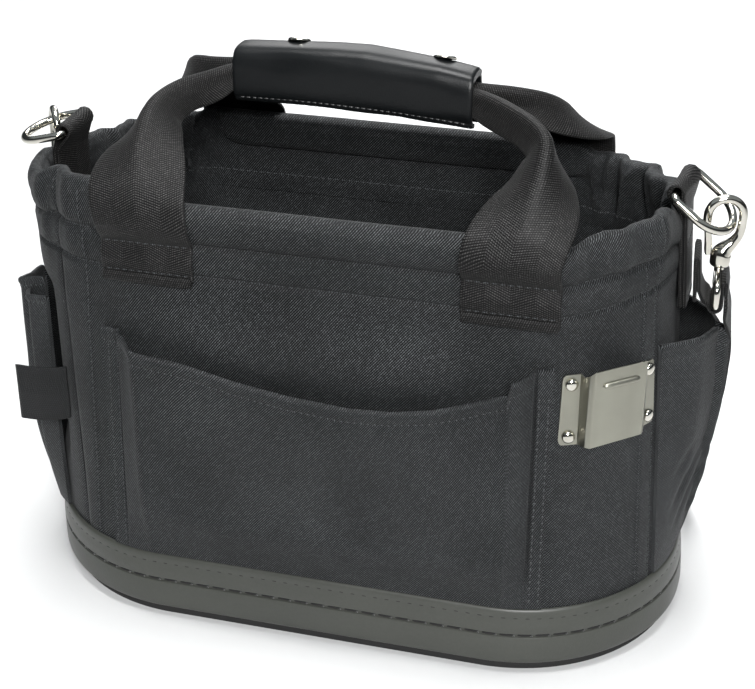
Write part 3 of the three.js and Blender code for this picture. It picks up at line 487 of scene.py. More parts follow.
def stiffness(step):
    away = np.minimum(np.abs(step), np.abs(step - 5))
    return 1 - smooth((away - 1.02) / 0.1)


def gather(step, z):
    at = turned(step)
    total = 0 * (at + z)
    for start, stop, depth, waves in GATHERS:
        k = np.clip((at - start) / (stop - start), 0, 1)
        wave = np.sin(2 * math.pi * waves * k) + 0.35 * np.sin(2 * math.pi * waves * 2.3 * k + 1.1)
        total = total + depth * np.sqrt(np.sin(math.pi * k)) * wave
    return total * smooth((z - 185) / 50)


def laps(step, z):
    """Raised strips beside the seams and the dents of the seams themselves."""
    at = turned(step)
    strip = lambda a, b: smooth((at - a) / 0.012) * smooth((b - at) / 0.012)
    raised = 0.8 * strip(-1.38, second_line(z)) + 0.7 * strip(1.62, 1.71)
    return raised - 0.6 * sum(bell(at, a, 0.014) for a in SEAMS)


def second_line(z):
    return mix(-1.29, -1.18, np.clip((z - 38) / 165, 0, 1))


def wrinkles(step, z):
    around = step * STEP_LENGTH
    soft = 1 - stiffness(step)
    low = 0.8 * noise(around / 62, z / 75, 3) + 0.35 * noise(around / 24, z / 40, 5)
    slope = around * 0.7 + z
    rim = 0.6 * noise(slope / 26, (around - z) / 70, 9) * smooth((z - 150) / 60)
    return (low * 0.8 + rim * (0.5 + 1.6 * soft)) * smooth((z - 20) / 60)


def slouch(step, z):
    """Left end hangs out and gives way behind its sleeve, front swells, left corner leans in at the rim."""
    at = turned(step)
    out = 2.3 * smooth((z - 150) / 55) * window(at, -2.4, -2.0, -1.62, -1.45)
    out = out + 5.0 * bell(z, 164, 20) * window(at, -0.85, -0.45, 0.45, 0.85)
    out = out - 3.5 * window(z, 62, 84, 168, 184) * window(at, -1.9, -1.78, -1.575, -1.49)
    return out - 4.5 * smooth((z - 216) / 24) * window(at, -1.5, -1.36, -1.16, -1.04)


def row_pucker(step, z):
    ripple = 0.5 + 0.5 * np.sin(step * STEP_LENGTH * 2 * math.pi / 4.2)
    return sum(-0.4 * ripple * bell(z, row, 1.6) for row in RIM_ROWS)


def rim_height(step, z):
    at = turned(step)
    left, right = window(at, -1.62, -1.4, -1.14, -1.0), window(at, 1.2, 1.42, 1.82, 1.98)
    drop = 3.5 * (1 - stiffness(step)) * (1 - np.maximum(left, right))
    k = np.clip((z - 191) / 49, 0, None)
    lift = np.interp(z, (150, 190, 202, 219, 240), (0, 0.6, 1, 0.35, 0)) * window(at, 1.15, 1.68, 2.6, 3.3)
    return z - drop * k + (7.5 * left + 4.5 * right) * k ** 2.2 + 4.5 * lift


def sway(step, z):
    return gather(step, z) + wrinkles(step, z) + laps(step, z) + slouch(step, z)


def hem_roll(step, z):
    """Share of the stiff roll's facing on the inside, with rounded lower ends."""
    x = np.abs(wall(step, z)[..., 0] - 3)
    ends = np.hypot(np.maximum(x - 98, 0), np.maximum(231 - z, 0)) - 11
    return stiffness(step) * (1 - smooth((ends + 0.6) / 1.4))


def pleats(step, z):
    """Folds of the gathered facing, standing in from the corners."""
    around = step * STEP_LENGTH
    fold = (1 - np.abs(noise(around / 15 + z / 90, z / 70, 13))) ** 4
    finer = (1 - np.abs(noise(around / 8 - z / 60, z / 45, 17))) ** 5
    where = window(step, 2.95, 3.15, 3.86, 3.98) + window(step, 6.02, 6.14, 6.8, 7.0)
    where = where + 0.55 * window(turned(step), 1.15, 1.35, 1.85, 2.0)
    return (4.5 * fold + 2.2 * finer) * where * smooth((z - 187) / 22)


def outside(step, z):
    stiff, soft = columns(PANEL, z, 1, 2)
    return mix(soft, stiff, stiffness(step)) + sway(step, z) + row_pucker(step, z)


def inside(step, z):
    facing = 1.3 * smooth((z - 190.2) / 0.6) + 0.5 * window(z, 191, 198, 214, 218)
    rolled = hem_roll(step, z) * (3.2 + 1.2 * window(z, 219, 226, 232, 238))
    full = 2.0 + 2.4 * window(turned(step), -1.95, -1.8, -1.14, -1.02)
    rolled = rolled + (1 - stiffness(step)) * full * window(z, 213, 225, 233, 241)
    return -2.6 - facing - rolled + sway(step, z) - pleats(step, z) - 0.5 * row_pucker(step, z)


def panel(name, start, stop):
    steps, run = even(start, stop, 2.0)
    s = steps[:, None]
    z = HEIGHTS[None, :]
    out, ins = outside(s, z), inside(s, z)
    turn = np.radians([25, 55, 90, 125, 155])[None, :]
    middle, half = (out[:, -1:] + ins[:, -1:]) / 2, (out[:, -1:] - ins[:, -1:]) / 2
    top = wall(s, rim_height(s, HEM_TOP + (RIM_Z - HEM_TOP) * np.sin(turn)), middle + half * np.cos(turn))
    loops = np.concatenate([
        wall(s, rim_height(s, z), out), top, wall(s, rim_height(s, z), ins)[:, ::-1]], 1)
    over = RIM_Z + np.array([-1.5, -0.5, 0, 0.5, 1.5])
    heights = chain(HEIGHTS, over, 2 * RIM_Z - HEIGHTS[::-1], [2 * RIM_Z])
    made = loft(name, loops, NYLON, uv=grid(np.append(run, run[-1] + 1), heights), slot="nylon")
    return made


NEXT_SEAMS = (*SEAMS[1:], SEAMS[0] + 10)
for side, start, stop in zip(("front", "right_end", "back", "left_end"), SEAMS, NEXT_SEAMS):
    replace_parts(panel(f"panel_{side}", start, stop), f"{side}_panel")


def panel_line(steps, z, skin, lift):
    """A line on the outer (lift 1) or inner (lift -1) skin of the panels, and its normals."""
    high = rim_height(steps, z)
    points = wall(steps, high, skin(steps, z) + 0.12 * lift)
    return points, wall(steps, high, skin(steps, z) + 1.12 * lift) - points


def rim_rows():
    steps, _ = even(-1, 9, 1.5)
    parts = []
    for row in RIM_ROWS:
        parts += stitch_parts(*panel_line(steps, row + 0 * steps, outside, 1), radius=0.5)
    parts += stitch_parts(*panel_line(steps, RIM_ROWS[0] + 0 * steps, inside, -1), radius=0.5)
    z = np.linspace(38, 236, 130)
    for line in (second_line(z) - 0.01, -1.405 + 0 * z, 1.70 + 0 * z, 1.625 + 0 * z):
        parts += stitch_parts(*panel_line(line, z, outside, 1), pitch=4.0, length=2.7, radius=0.4)
    return joined("rim_stitches", parts, THREAD, slot="nylon")


rim_rows()


# Sewn-on pockets
HEM_ROW = 1.8


def pocket(side, tops, point, hem, seams=()):
    """tops: top edge per column; point(heights, extra) gives the pocket's wall there."""
    name = f"pocket_{side}"
    shares = chain(np.linspace(0, 0.86, 50), np.linspace(0.87, 1, 22))
    z = mix(POCKET_FOOT, tops[:, None], shares[None, :])
    below = tops[:, None] - z
    fold = 0.7 * smooth((hem - below) / 1.0) - 0.6 * bell(below, hem - HEM_ROW, 1.2)
    fold = fold + 0.5 * window(below, -0.1, 0.8, 2.5, 5)
    rounding = 0.7 * smooth(1 - below / 1.4)
    out = point(z, POCKET_WALL + fold - rounding)
    loops = shell(out, point(z, rounding * 0.6))
    across = run_of(out[:, 20])
    middle = len(z) // 2
    down = np.append(chain(z[middle], 2 * tops[middle] - z[middle][::-1]), 400)
    uv = grid(np.append(across, across[-1] + 1), down)
    made = loft(name, loops, POCKET_NYLON, uv=uv, slot="nylon")
    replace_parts(made, f"{side}_pocket")
    row = (tops - hem + HEM_ROW)[:, None]
    edge, lift = (point(row, POCKET_WALL + q + 0 * row)[:, 0] for q in (0.1, 1.1))
    parts = stitch_parts(edge, lift - edge, pitch=3.6, length=2.6, radius=0.45)
    joined(name + "_stitches", [*parts, *seams], THREAD, slot="nylon")


FRONT_POCKET = np.array([
    # x, top, mouth, belly
    [-121, 168, 0.35, 0.35], [-113.4, 167.4, 0.35, 0.35], [-112.8, 167.2, -1.5, -1.5],
    [-112, 167, -1.5, -1.5], [-111.4, 166.6, 1.2, 1.0], [-106, 164, 6.6, 5.6],
    [-102.4, 162, 10.2, 8.6], [-101, 161.5, 10.8, 9.2], [-96, 160.3, 10.0, 9.0], [-78, 158.5, 10.2, 9.2],
    [-44, 152, 10.8, 10.2], [-14, 147.5, 11.2, 10.8], [16, 145.5, 11.2, 10.8], [40, 147, 11.2, 10.4],
    [62, 151, 10.8, 9.8], [84, 158, 10.4, 9.4], [97, 163.5, 10.4, 9.4], [101.2, 165.3, 12.0, 10.6],
    [102.2, 171.8, 11.6, 10.0], [107, 172.6, 7.4, 6.2], [111.4, 173.6, 2.0, 2.0], [112, 173.7, -1.5, -1.5],
    [112.8, 173.9, -1.5, -1.5], [113.4, 174, 0.35, 0.35], [121, 175, 0.35, 0.35],
])


def front_pocket():
    x = np.unique(chain(
        np.linspace(-121, -99, 38), np.linspace(-99, 98, 100), np.linspace(98, 121, 39)))
    across = x[:, None]
    tops, mouth, belly = (q[:, None] for q in columns(FRONT_POCKET, x, 1, 2, 3))

    def point(z, extra):
        k = (z - POCKET_FOOT) / (tops - POCKET_FOOT)
        full = mix(belly, mouth, smooth(k))
        off = mix(0.35, full, smooth(k / 0.3 + 0.08))
        loose = smooth((full - 5) / 4) * smooth(k / 0.3)
        slack = 1.1 * noise(across / 46, z / 52, 21) + 0.5 * noise((across + z) / 22, z / 60, 23)
        lean = (1 - k) * 4.0 * window(across, -111, -103, -97, -60) - k * 1.5 * smooth((-across - 108) / 4)
        return wall(front_step(across + lean, z), z, off + extra + loose * slack)

    z = np.linspace(40, 160, 80)
    seams = []
    for row in (-118.5, -113.4, 114.6, 119.0):
        seams += stitch_parts(*wall_line(front_step(row, z), z, 2.5), pitch=3.8, length=2.6, radius=0.4)
    pocket("front", tops[:, 0], point, 8.8, seams)


front_pocket()


RIGHT_POCKET = np.array([
    # step, top, mouth
    [1.735, 174, 0.6], [1.76, 173.9, 2.6], [1.9, 173, 13.5], [2.05, 172.3, 21.2], [2.2, 171.7, 23.6],
    [2.5, 171, 24.6], [2.8, 171.7, 23.6], [2.95, 172.3, 21.2], [3.1, 173, 13.5], [3.265, 174, 0.6],
])
LEFT_POCKET = np.array([
    [6.515, 168, 0.6], [6.7, 163, 8], [6.95, 159.5, 11], [7.4, 158, 12.2], [7.8, 158.7, 12.2],
    [8.1, 163, 12], [8.2, 167.5, 13.2], [8.245, 169.9, 13.8], [8.262, 170.6, 13.2], [8.3, 173, 7],
    [8.345, 175, 0.6],
])
SLEEVE = np.array([
    [8.295, 165.5, 9.4], [8.34, 165.4, 10.2], [8.352, 165.6, 10.0], [8.436, 168, 1.9],
])


def end_pocket(side, rows, hem, gap, box):
    """box: how far the sides keep their width towards the foot."""
    steps, _ = even(rows[0, 0], rows[-1, 0], gap)
    s = steps[:, None]
    tops, mouth = (q[:, None] for q in columns(rows, steps, 1, 2))
    loose = smooth((mouth - 5) / 9)
    opening_rate = 2 if box else 1

    def point(z, extra):
        rise = np.clip((z - POCKET_FOOT) / (tops - POCKET_FOOT), 0, 1)
        fade = mix(box, 1, 1 - (1 - np.minimum(rise * opening_rate, 1)) ** 2)
        turn = s * 9 - z / 21
        dip = -2.6 * bell(turn, np.round(turn), 0.22) * window(z, 44, 62, 84, 118)
        folds = noise(s * 2.2, z / 50, 31) + 0.5 * noise(s * 6, z / 33, 33) + dip * (box == 0)
        return wall(s, z, mouth * fade + extra + loose * folds * smooth((z - 40) / 40))

    pocket(side, tops[:, 0], point, hem)


end_pocket("right_end", RIGHT_POCKET, 11.5, 1.6, 0.0)
end_pocket("left_end", LEFT_POCKET, 7.0, 1.2, 0.3)
end_pocket("left_sleeve", SLEEVE, 6.0, 0.8, 0.33)


# Base: moulded band with two stitched rows, black foot strip under it
TRAY = np.array([
    # z, stand-off
    [2.55, -1.0], [2.6, 0.6], [2.9, 1.6], [3.5, 2.35], [4.6, 2.95], [6.5, 3.3], [12, 3.45], [18.6, 3.45],
    [19.4, 3.2], [19.8, 2.3], [21.2, 2.3], [21.6, 3.1], [22.4, 3.4], [28, 3.2], [30.2, 2.85], [31.6, 2.8],
    [33, 2.9], [34.6, 2.6], [35.6, 2.2], [36, 1.7], [36, 0.65], [7.0, 0.65],
])
FOOT_ROWS = np.array([[-3.2, -2.4], [-3.0, -1.8], [-2.4, -1.4], [-0.4, -1.25], [2.2, -1.4]])


def turned_wall(name, cad, rows, material, slot):
    steps, _ = even(-1, 9, 4.0, z=20.0)
    loops = wall(steps[None, :-1], rows[:, :1], rows[:, 1:])
    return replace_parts(loft(name, loops, material, caps="ngon", slot=slot), cad)


turned_wall("base_band", "base_tray", TRAY, VINYL, "base")
turned_wall("foot_strip", "foot_plate", FOOT_ROWS, FOOT, "foot")


def band_rows():
    steps, _ = even(-1, 9, 1.2, z=20.0)
    upper = stitch_parts(*wall_line(steps, 31.0, 2.78), pitch=6.4, length=3.0, radius=0.26)
    lower = stitch_parts(*wall_line(steps, 20.5, 2.35), pitch=9.6, length=8.6, radius=0.62)
    joined("band_stitches", upper + lower, FOOT, slot="base")
    half, _ = even(-1.045, 8.955, 1.2, z=20.0)
    # painted highlight: small light grey bumps where the lower row's needle holes catch the light
    needle_hole_highlights = stitch_parts(*wall_line(half, 20.3, 2.75), pitch=9.6, length=1.3, radius=0.55)
    joined("band_needle_hole_highlights", needle_hole_highlights, GREY_THREAD, slot="base")


band_rows()


# Tape clip: a hat-shaped strip of plate with four rivets, on the front right corner
CLIP = np.array([
    # step, stand-off at the foot, stand-off at the top, foot, top
    [1.232, 0.95, 0.95, 135.2, 167.4], [1.236, 0.95, 0.95, 133.2, 169.6], [1.244, 0.95, 0.95, 132.1, 170.8],
    [1.275, 0.95, 0.95, 132, 171], [1.313, 0.95, 0.95, 132, 171], [1.322, 3.0, 3.8, 132.2, 170],
    [1.331, 6.4, 8.4, 132.6, 173], [1.345, 8.2, 11.0, 132.8, 176], [1.568, 8.2, 10.8, 133.6, 176],
    [1.588, 6.4, 8.2, 133.2, 173], [1.604, 3.0, 3.6, 132.6, 170], [1.624, 0.95, 0.95, 132, 168],
    [1.66, 0.95, 0.95, 132, 168], [1.692, 0.95, 0.95, 132.1, 167.8], [1.699, 0.95, 0.95, 133.2, 166.6],
    [1.702, 0.95, 0.95, 135.2, 164.4],
])
RIVETS = [(1.273, 136.8), (1.273, 165.8), (1.664, 137.0), (1.664, 163.5)]


def side_normals(line):
    along = unit(np.gradient(line, axis=0) * (1, 1, 0))
    return np.stack([along[:, 1], -along[:, 0], 0 * along[:, 0]], -1)


def clip_surface(steps, share):
    """Straight from each bend of the plate to the next."""
    at, low, high, foot, head = CLIP.T
    return on_line(steps, at, mix(wall(at, foot, low), wall(at, head, high), share))


def tape_clip():
    """The bent plate and the pressed rib across it, below its top edge."""
    steps = np.unique(chain(
        CLIP[:, 0], np.linspace(1.306, 1.352, 33), np.linspace(1.56, 1.632, 37),
        np.linspace(1.352, 1.56, 12)))
    kernel = np.array([1, 1, 1]) / 3
    outer, inner = [], []
    for share in np.linspace(0, 1, 12):
        line = clip_surface(steps, share)
        soft = np.stack([np.convolve(line[:, k], kernel, "same") for k in range(3)], -1)
        bend = smooth((steps - 1.308) / 0.004) * smooth((1.63 - steps) / 0.006)
        bend = bend * (1 - window(steps, 1.349, 1.353, 1.558, 1.562))
        line = mix(line, soft, bend[:, None])
        side = side_normals(line)
        half = 0.6 - 0.25 * (share in (0.0, 1.0))
        outer.append(line + side * half)
        inner.append(line - side * half)
    loops = shell(np.stack(outer, 1), np.stack(inner, 1))
    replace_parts(loft("clip_plate", loops, SATIN, slot="clip_metal", angle=50), "tape_clip")
    k = np.linspace(-1, 1, 33)
    line = clip_surface(mix(1.378, 1.54, (k + 1) / 2), 0.8)
    side = side_normals(line)
    full = np.sqrt(np.maximum(1 - k ** 10, 0.02))[:, None]
    loops = tube(line + side * 0.45, full * UP * 1.7, full * side * 2.0, 16)
    loft("clip_rib", loops, SATIN, caps="ngon", slot="clip_metal")


tape_clip()


def button(name, cad, centre, axis, rows, turns):
    """Plated piece turned about an axis; rows: radius and height."""
    axis = unit(axis)
    seed = UP if abs(axis[2]) < 0.8 else np.array([1.0, 0, 0])
    across = unit(np.cross(seed, axis))
    rows = np.array(rows)
    radii = np.maximum(rows[:, :1], 0.02)
    loops = tube(centre + axis * rows[:, 1:], across * radii, np.cross(axis, across) * radii, turns)
    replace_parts(loft(name, loops, BRIGHT, caps="ngon", slot="clip_metal"), cad)


RIVET = [(0, 0), (3.2, 0), (3.45, 0.2), (3.4, 0.6), (2.9, 1.2), (2.1, 1.65), (1.1, 1.9), (0, 1.95)]
for k, (step, z) in enumerate(RIVETS):
    axis = wall(step, z, 10) - wall(step, z, 0)
    button(f"rivet_{k + 1}", f"clip_rivet_{k + 1}", wall(step, z, 1.85), axis, RIVET, 28)


# Carrying handles: webbing flat on the panels, folded lengthwise towards the grip
LEFT_PATCH, RIGHT_PATCH = -94.5, 98.5
FRONT_PATCH = [(-77.2, 199.5), (-76.6, 203), (-77.6, 210), (-75.6, 218.6), (-79.4, 224), (-82.2, 231)]
BACK_PATCH = [(77.0, 199.5), (75.6, 218), (76.6, 231)]
IN_GRIP = [(-30, 295.6), (0, 295.8), (30, 294.3), (60, 291.2)]


def sewn(x, way, patch):
    """Rows of a handle's flat end."""
    return [[x, y, z, way, 0, 0, WEB_HALF] for y, z in patch]


def gripped(y, way, line):
    """Rows of a handle's folded stretch inside the grip."""
    return [[x, y, z, 0, way, 180, 14] for x, z in line]


FRONT_HANDLE = np.array([
    # x, y, z, width x, width y, fold, half width
    *sewn(LEFT_PATCH, -1, FRONT_PATCH),
    [-96, -81.4, 243, -1, -0.05, 4, 25.4], [-99, -71.5, 257, -0.99, -0.16, 18, 25.4],
    [-102.5, -56, 271, -0.99, 0.05, 66, 23.6], [-103, -37, 281.5, -0.8, 0.6, 122, 20],
    [-95, -20, 287, -0.45, 0.9, 165, 18], [-82, -10, 290, -0.1, 1, 180, 18],
    [-66, -4.2, 294, 0, 1, 180, 11.8], *gripped(-4.3, 1, IN_GRIP),
    [73, -9, 289.8, 0.15, 1, 180, 18], [86, -17.5, 288, 0.4, 0.92, 177, 18],
    [98, -27, 285.5, 0.6, 0.8, 170, 18], [106, -37, 281, 0.85, 0.5, 152, 19],
    [107, -50, 270.5, 1, 0.1, 100, 23], [104.5, -67, 256, 1, 0, 36, 25.4],
    [100.5, -80.2, 242, 1, 0, 8, 25.4], *sewn(RIGHT_PATCH, 1, FRONT_PATCH[::-1]),
])
BACK_HANDLE = np.array([
    *sewn(RIGHT_PATCH, 1, BACK_PATCH), [98.5, 75.1, 242, 1, 0, 6, 25.4],
    [100, 64, 254, 1, 0, 24, 25.4], [102, 49, 265, 0.97, -0.2, 55, 24.5],
    [100, 33, 276, 0.85, -0.5, 105, 21.5], [92, 19.5, 284, 0.55, -0.83, 155, 18],
    [79, 10.5, 288.5, 0.15, -1, 178, 18], *gripped(4.3, -1, IN_GRIP[::-1]),
    [-66, 4.3, 294, 0, -1, 180, 12.4],
    [-85, 9, 291.5, -0.1, -1, 178, 18], [-99, 17.5, 288.5, -0.5, -0.87, 158, 18],
    [-106, 31, 281, -0.8, -0.55, 110, 21.5], [-104, 47, 270, -0.97, -0.2, 62, 24.5],
    [-98, 63, 256, -1, 0, 26, 25.4], [-95, 75.0, 242, -1, 0, 6, 25.4],
    *sewn(LEFT_PATCH, -1, BACK_PATCH[::-1]),
])
FOLD_HALF = 3.46
PATCH_ROWS = (203.0, 219.0)


def worn_edges(shares):
    """Thickness share of webbing, less towards its two edges."""
    away = np.abs(shares)
    return np.where(away > 0.99, 0.45, np.where(away > 0.96, 0.85, 1.0))


def strip_frame(rows, per=9):
    count = (len(rows) - 1) * per
    centre = curve(rows[:, :3], count)
    row = np.linspace(0, len(rows) - 1, count + 1)
    kernel = np.ones(per) / per
    soften = lambda q: np.convolve(np.pad(q, per // 2, mode="edge"), kernel, "valid")
    at = lambda column: soften(by_row(rows, row, column))
    along = tangents(centre)
    across = np.stack([at(3), at(4), 0 * row], -1)
    across = unit(across - along * (across * along).sum(1, keepdims=True))
    return centre, across, np.cross(along, across), at(5), at(6)


def strip_point(strip, w, lift):
    """Points of a folded strip at shares w of its half width, lifted off its middle face."""
    centre, across, face, fold, half = strip
    w = np.asarray(w)[None, :] * half[:, None]
    limit = np.maximum(fold, 0.5)[:, None] * math.pi / 360
    radius = FOLD_HALF / limit
    bent = np.minimum(1, np.abs(w) / FOLD_HALF) * limit * np.sign(w)
    leg = np.maximum(0, np.abs(w) - FOLD_HALF) * np.sign(w)
    a = radius * np.sin(bent) + leg * np.cos(bent) + lift * np.sin(bent)
    n = -radius * (1 - np.cos(bent)) - np.abs(leg) * np.sin(np.abs(bent)) + lift * np.cos(bent)
    return centre[:, None] + across[:, None] * a[..., None] + face[:, None] * n[..., None]


def handle(side, rows):
    name = f"handle_{side}"
    strip = strip_frame(rows)
    shares = chain([-1, -0.975], np.linspace(-0.93, 0.93, 25), [0.975, 1])
    thin = 1.2 * worn_edges(shares)
    loops = shell(strip_point(strip, shares, thin), strip_point(strip, shares, -thin))
    girth = chain(shares, 2.1 - shares[::-1], [3.2]) * WEB_HALF
    run = run_of(strip[0])
    made = loft(name, loops, WEBBING, uv=grid(run, girth), slot="webbing")
    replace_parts(made, f"{side}_handle")
    ends = []
    t = np.linspace(-1, 1, 61)
    uneven = (rounded_end(np.abs(t)) * (1 + 0.09 * noise(t * 9, 0.5, 51)))[:, None]
    high = 199.2 + 0.4 * noise(t * 5, 2.5, 53)
    for x, y in rows[[0, -1], :2]:
        line = np.stack([x + 25.2 * t, y + math.copysign(0.5, y) + 0 * t, high], -1)
        ends.append(loft_faces(tube(line, uneven * (0, 2.0, 0), uneven * (0, 0, 3.1), 16), caps="ngon"))
    joined(name + "_ends", ends, WEBBING, slot="webbing")
    parts = []
    shares = np.linspace(-0.92, 0.92, 30)
    surface, above = strip_point(strip, shares, 1.25), strip_point(strip, shares, 2.25)
    heights = strip[0][:, 2]
    half = len(heights) // 2
    for start, part in ((0, heights[:half]), (half, heights[half:])):
        for row in PATCH_ROWS:
            k = start + int(np.argmin(np.abs(part - row)))
            parts += stitch_parts(surface[k], above[k] - surface[k])
    joined(name + "_stitches", parts, THREAD, slot="webbing")


handle("front", FRONT_HANDLE)
handle("back", BACK_HANDLE)


# Leather grip: wrapped round both webbings, flap edge at the back of the top held by two snaps
GRIP = np.array([
    # x, z, half height, swell of the flap
    [-67, 288.6, 14.2, 0], [-62, 289.0, 14.4, 0.2], [-36, 289.9, 14.9, 0], [-14, 289.9, 15.4, 0.9],
    [4, 289.4, 15.6, 1.5], [22, 288.4, 15.2, 0.8], [43, 286.8, 15.0, 0], [58, 284.8, 14.3, 0.2],
    [62, 284.2, 14.0, 0],
])
GRIP_POWER = 2 / 3.4
HIDE_WALL = 2.6
GRIP_SEAM, FLAP_ROW = 3.78, 0.86
GRIP_X = chain([-67, -66.6, -66], np.linspace(-65, 60, 90), [61, 61.6, 62])


def grip_point(x, turn, thick):
    centre, high, swell = (q[:, None] for q in columns(GRIP, x, 1, 2, 3))
    flap = 1.6 * (1 - smooth((turn - 1.57) / 1.2)) + swell * np.maximum(0, 1 - (turn - 0.75) / 1.2)
    thick = thick - flap * smooth((turn - 0.73) / 0.03) * (thick <= 0)
    c, s = np.cos(turn), np.sin(turn)
    y = np.sign(c) * np.abs(c) ** GRIP_POWER * (12.2 - thick)
    z = np.sign(s) * np.abs(s) ** GRIP_POWER * (high - thick)
    return np.stack(np.broadcast_arrays(x[:, None], y, centre + z), -1)


def grip():
    turns = np.unique(chain(
        np.linspace(-1.38, 2 * math.pi - 1.76, 80), np.linspace(0.72, 0.77, 6)))[None, :]
    inset = 0.5 * np.clip(1 - np.minimum(GRIP_X + 67, 62 - GRIP_X), 0, 1)[:, None]
    dent = 0.4 * noise(GRIP_X[:, None] / 19, turns * 2.2, 41) * smooth((turns - 2.0) / 0.5)
    seam = -0.5 * bell(turns, GRIP_SEAM, 0.06)
    outer = grip_point(GRIP_X, turns, 0 * turns)
    normal = unit(outer - grip_point(GRIP_X, turns, HIDE_WALL + 0 * turns))
    outer = outer + normal * (dent + seam - inset)[..., None]
    loops = shell(outer, grip_point(GRIP_X, turns, HIDE_WALL - inset))
    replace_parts(loft("grip_wrap", loops, HIDE, slot="grip", angle=35), "handle_grip")
    x = np.linspace(-64, 59, 90)
    parts = []
    for turn, lift in ((GRIP_SEAM, -0.3), (FLAP_ROW, 0.05)):
        at = np.full((1, 1), turn)
        on, above = (grip_point(x, at, -q + 0 * x[:, None])[:, 0] for q in (lift, lift + 1))
        parts += stitch_parts(on, above - on, pitch=3.3, length=2.3, radius=0.36)
    joined("grip_stitches", parts, GREY_THREAD, slot="grip")


grip()
SNAP = [
    (0, 0), (5.8, 0), (6.2, 0.3), (6.3, 0.8), (6.0, 1.3), (5.4, 1.7), (4.7, 1.8), (4.0, 1.65), (3.4, 1.5),
    (2.6, 1.45), (1.4, 1.4), (0, 1.3),
]
SNAP_LEAN = np.array([0, 0.38, 0.925])
SNAP_TURN = 1.15
for k, x in enumerate((-36.0, 43.0)):
    z, high = columns(GRIP, x, 1, 2)
    y = math.cos(SNAP_TURN) ** GRIP_POWER * 13.8
    seat = np.array([x, y, z + math.sin(SNAP_TURN) ** GRIP_POWER * (high + 1.6)])
    button(f"snap_{k + 1}", f"grip_snap_{k + 1}", seat - SNAP_LEAN * 0.5, SNAP_LEAN, SNAP, 36)


# Rings, hooks, gates and eyes of plated wire
def frame_at(origin, out, across):
    x = unit(np.asarray(out, float))
    across = np.asarray(across, float)
    y = unit(across - x * across.dot(x))
    return np.asarray(origin, float), x, y, np.cross(x, y)


def place(axes, a, b, c=0.0):
    origin, x, y, z = axes
    parts = [np.asarray(q, float)[..., None] for q in (a, b, c)]
    return origin + parts[0] * x + parts[1] * y + parts[2] * z


def wire(name, cad, points, radii, closed, normal):
    along = tangents(points, closed)
    side = unit(np.cross(normal, along))
    radii = np.broadcast_to(radii, len(points))[:, None]
    loops = tube(points, side * radii, np.cross(along, side) * radii, 20)
    made = loft(name, loops, BRIGHT, closed=closed, caps="ngon", slot="hook_metal")
    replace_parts(made, cad)


BOW_X, BOW_RADIUS, RING_HALF, RING_CORNER, RING_WIRE = 15.6, 16.5, 12.9, 3.6, 2.25
RIGHT_RING = frame_at((170.7, 0, 249.4), (25.3, -3, -19.5), (0.2, 0.97, 0.12))
LEFT_RING = frame_at((-167, 0, 250), (-0.95, 0.14, -0.28), (0.12, 0.97, 0.1))


def rounded_path(corners, radius):
    """A closed line through the corners with each corner rounded, in steps of about 2 mm."""
    out = []
    t = np.linspace(0, 1, 7)[:, None]
    for before, p, after in zip(np.roll(corners, 1, 0), corners, np.roll(corners, -1, 0)):
        a, b = p + unit(before - p) * radius, p + unit(after - p) * radius
        out.append((1 - t) ** 2 * a + 2 * t * (1 - t) * p + t ** 2 * b)
    closed = closed_up(chain(*out))
    run = run_of(closed)
    at = np.linspace(0, run[-1], int(run[-1] / 2) + 1)[:-1]
    return on_line(at, run, closed)


def bow_point(axes, turn):
    return place(axes, BOW_X + BOW_RADIUS * np.cos(turn), BOW_RADIUS * np.sin(turn))


def ring(side, axes):
    bow = bow_point(axes, np.linspace(-math.pi / 2, math.pi / 2, 40))
    corner = np.linspace(0, math.pi / 2, 8)
    c, s = RING_CORNER * np.cos(corner), RING_CORNER * np.sin(corner)
    left = place(axes, RING_CORNER - s, RING_HALF + c)
    right = place(axes, RING_CORNER - c, -RING_HALF - s)
    bar = place(axes, np.zeros(7), np.linspace(RING_HALF, -RING_HALF, 9)[1:-1])
    wire(f"ring_{side}", f"{side}_ring", chain(bow, left, bar, right), RING_WIRE, True, axes[3])


ring("right", RIGHT_RING)
ring("left", LEFT_RING)

HOOK = np.array([
    # along, across, radius
    [-13.8, 0, 2.5], [-11.4, 0, 2.7], [-10.9, 0, 3.4], [-10.6, 0, 4.6], [-10.0, 0, 5.1], [-8.8, 0, 5.3],
    [-6.4, 0.05, 5.35], [-4.2, 0.2, 5.2], [-2.6, 1.0, 4.7], [-1.0, 2.2, 4.0], [2.4, 5.4, 2.9],
    [6.4, 7.9, 2.4], [11.5, 8.9, 2.3],
])
GATE = np.array([
    [-4.8, -6.9, 1.1], [-4.4, -6.9, 1.5], [-2.6, -6.9, 1.9], [2.0, -7.2, 1.9], [6.4, -7.9, 1.8],
    [10.6, -8.6, 1.65], [11.3, -8.7, 1.3],
])
RIGHT_HOOK = frame_at((192.4, -3, 218.8), (0.04, 0, 1), (0.96, 0.28, 0))
LEFT_HOOK = frame_at(bow_point(LEFT_RING, 1.05) - UP * 20.85, UP, (-0.56, 0.83, 0))
SIDES = {"right": np.array([-0.09, 0.996, 0]), "left": np.array([0.2, 0.98, 0])}
EYE_NEAR, EYE_FAR, EYE_HALF = -16.3, -29.0, 15.8


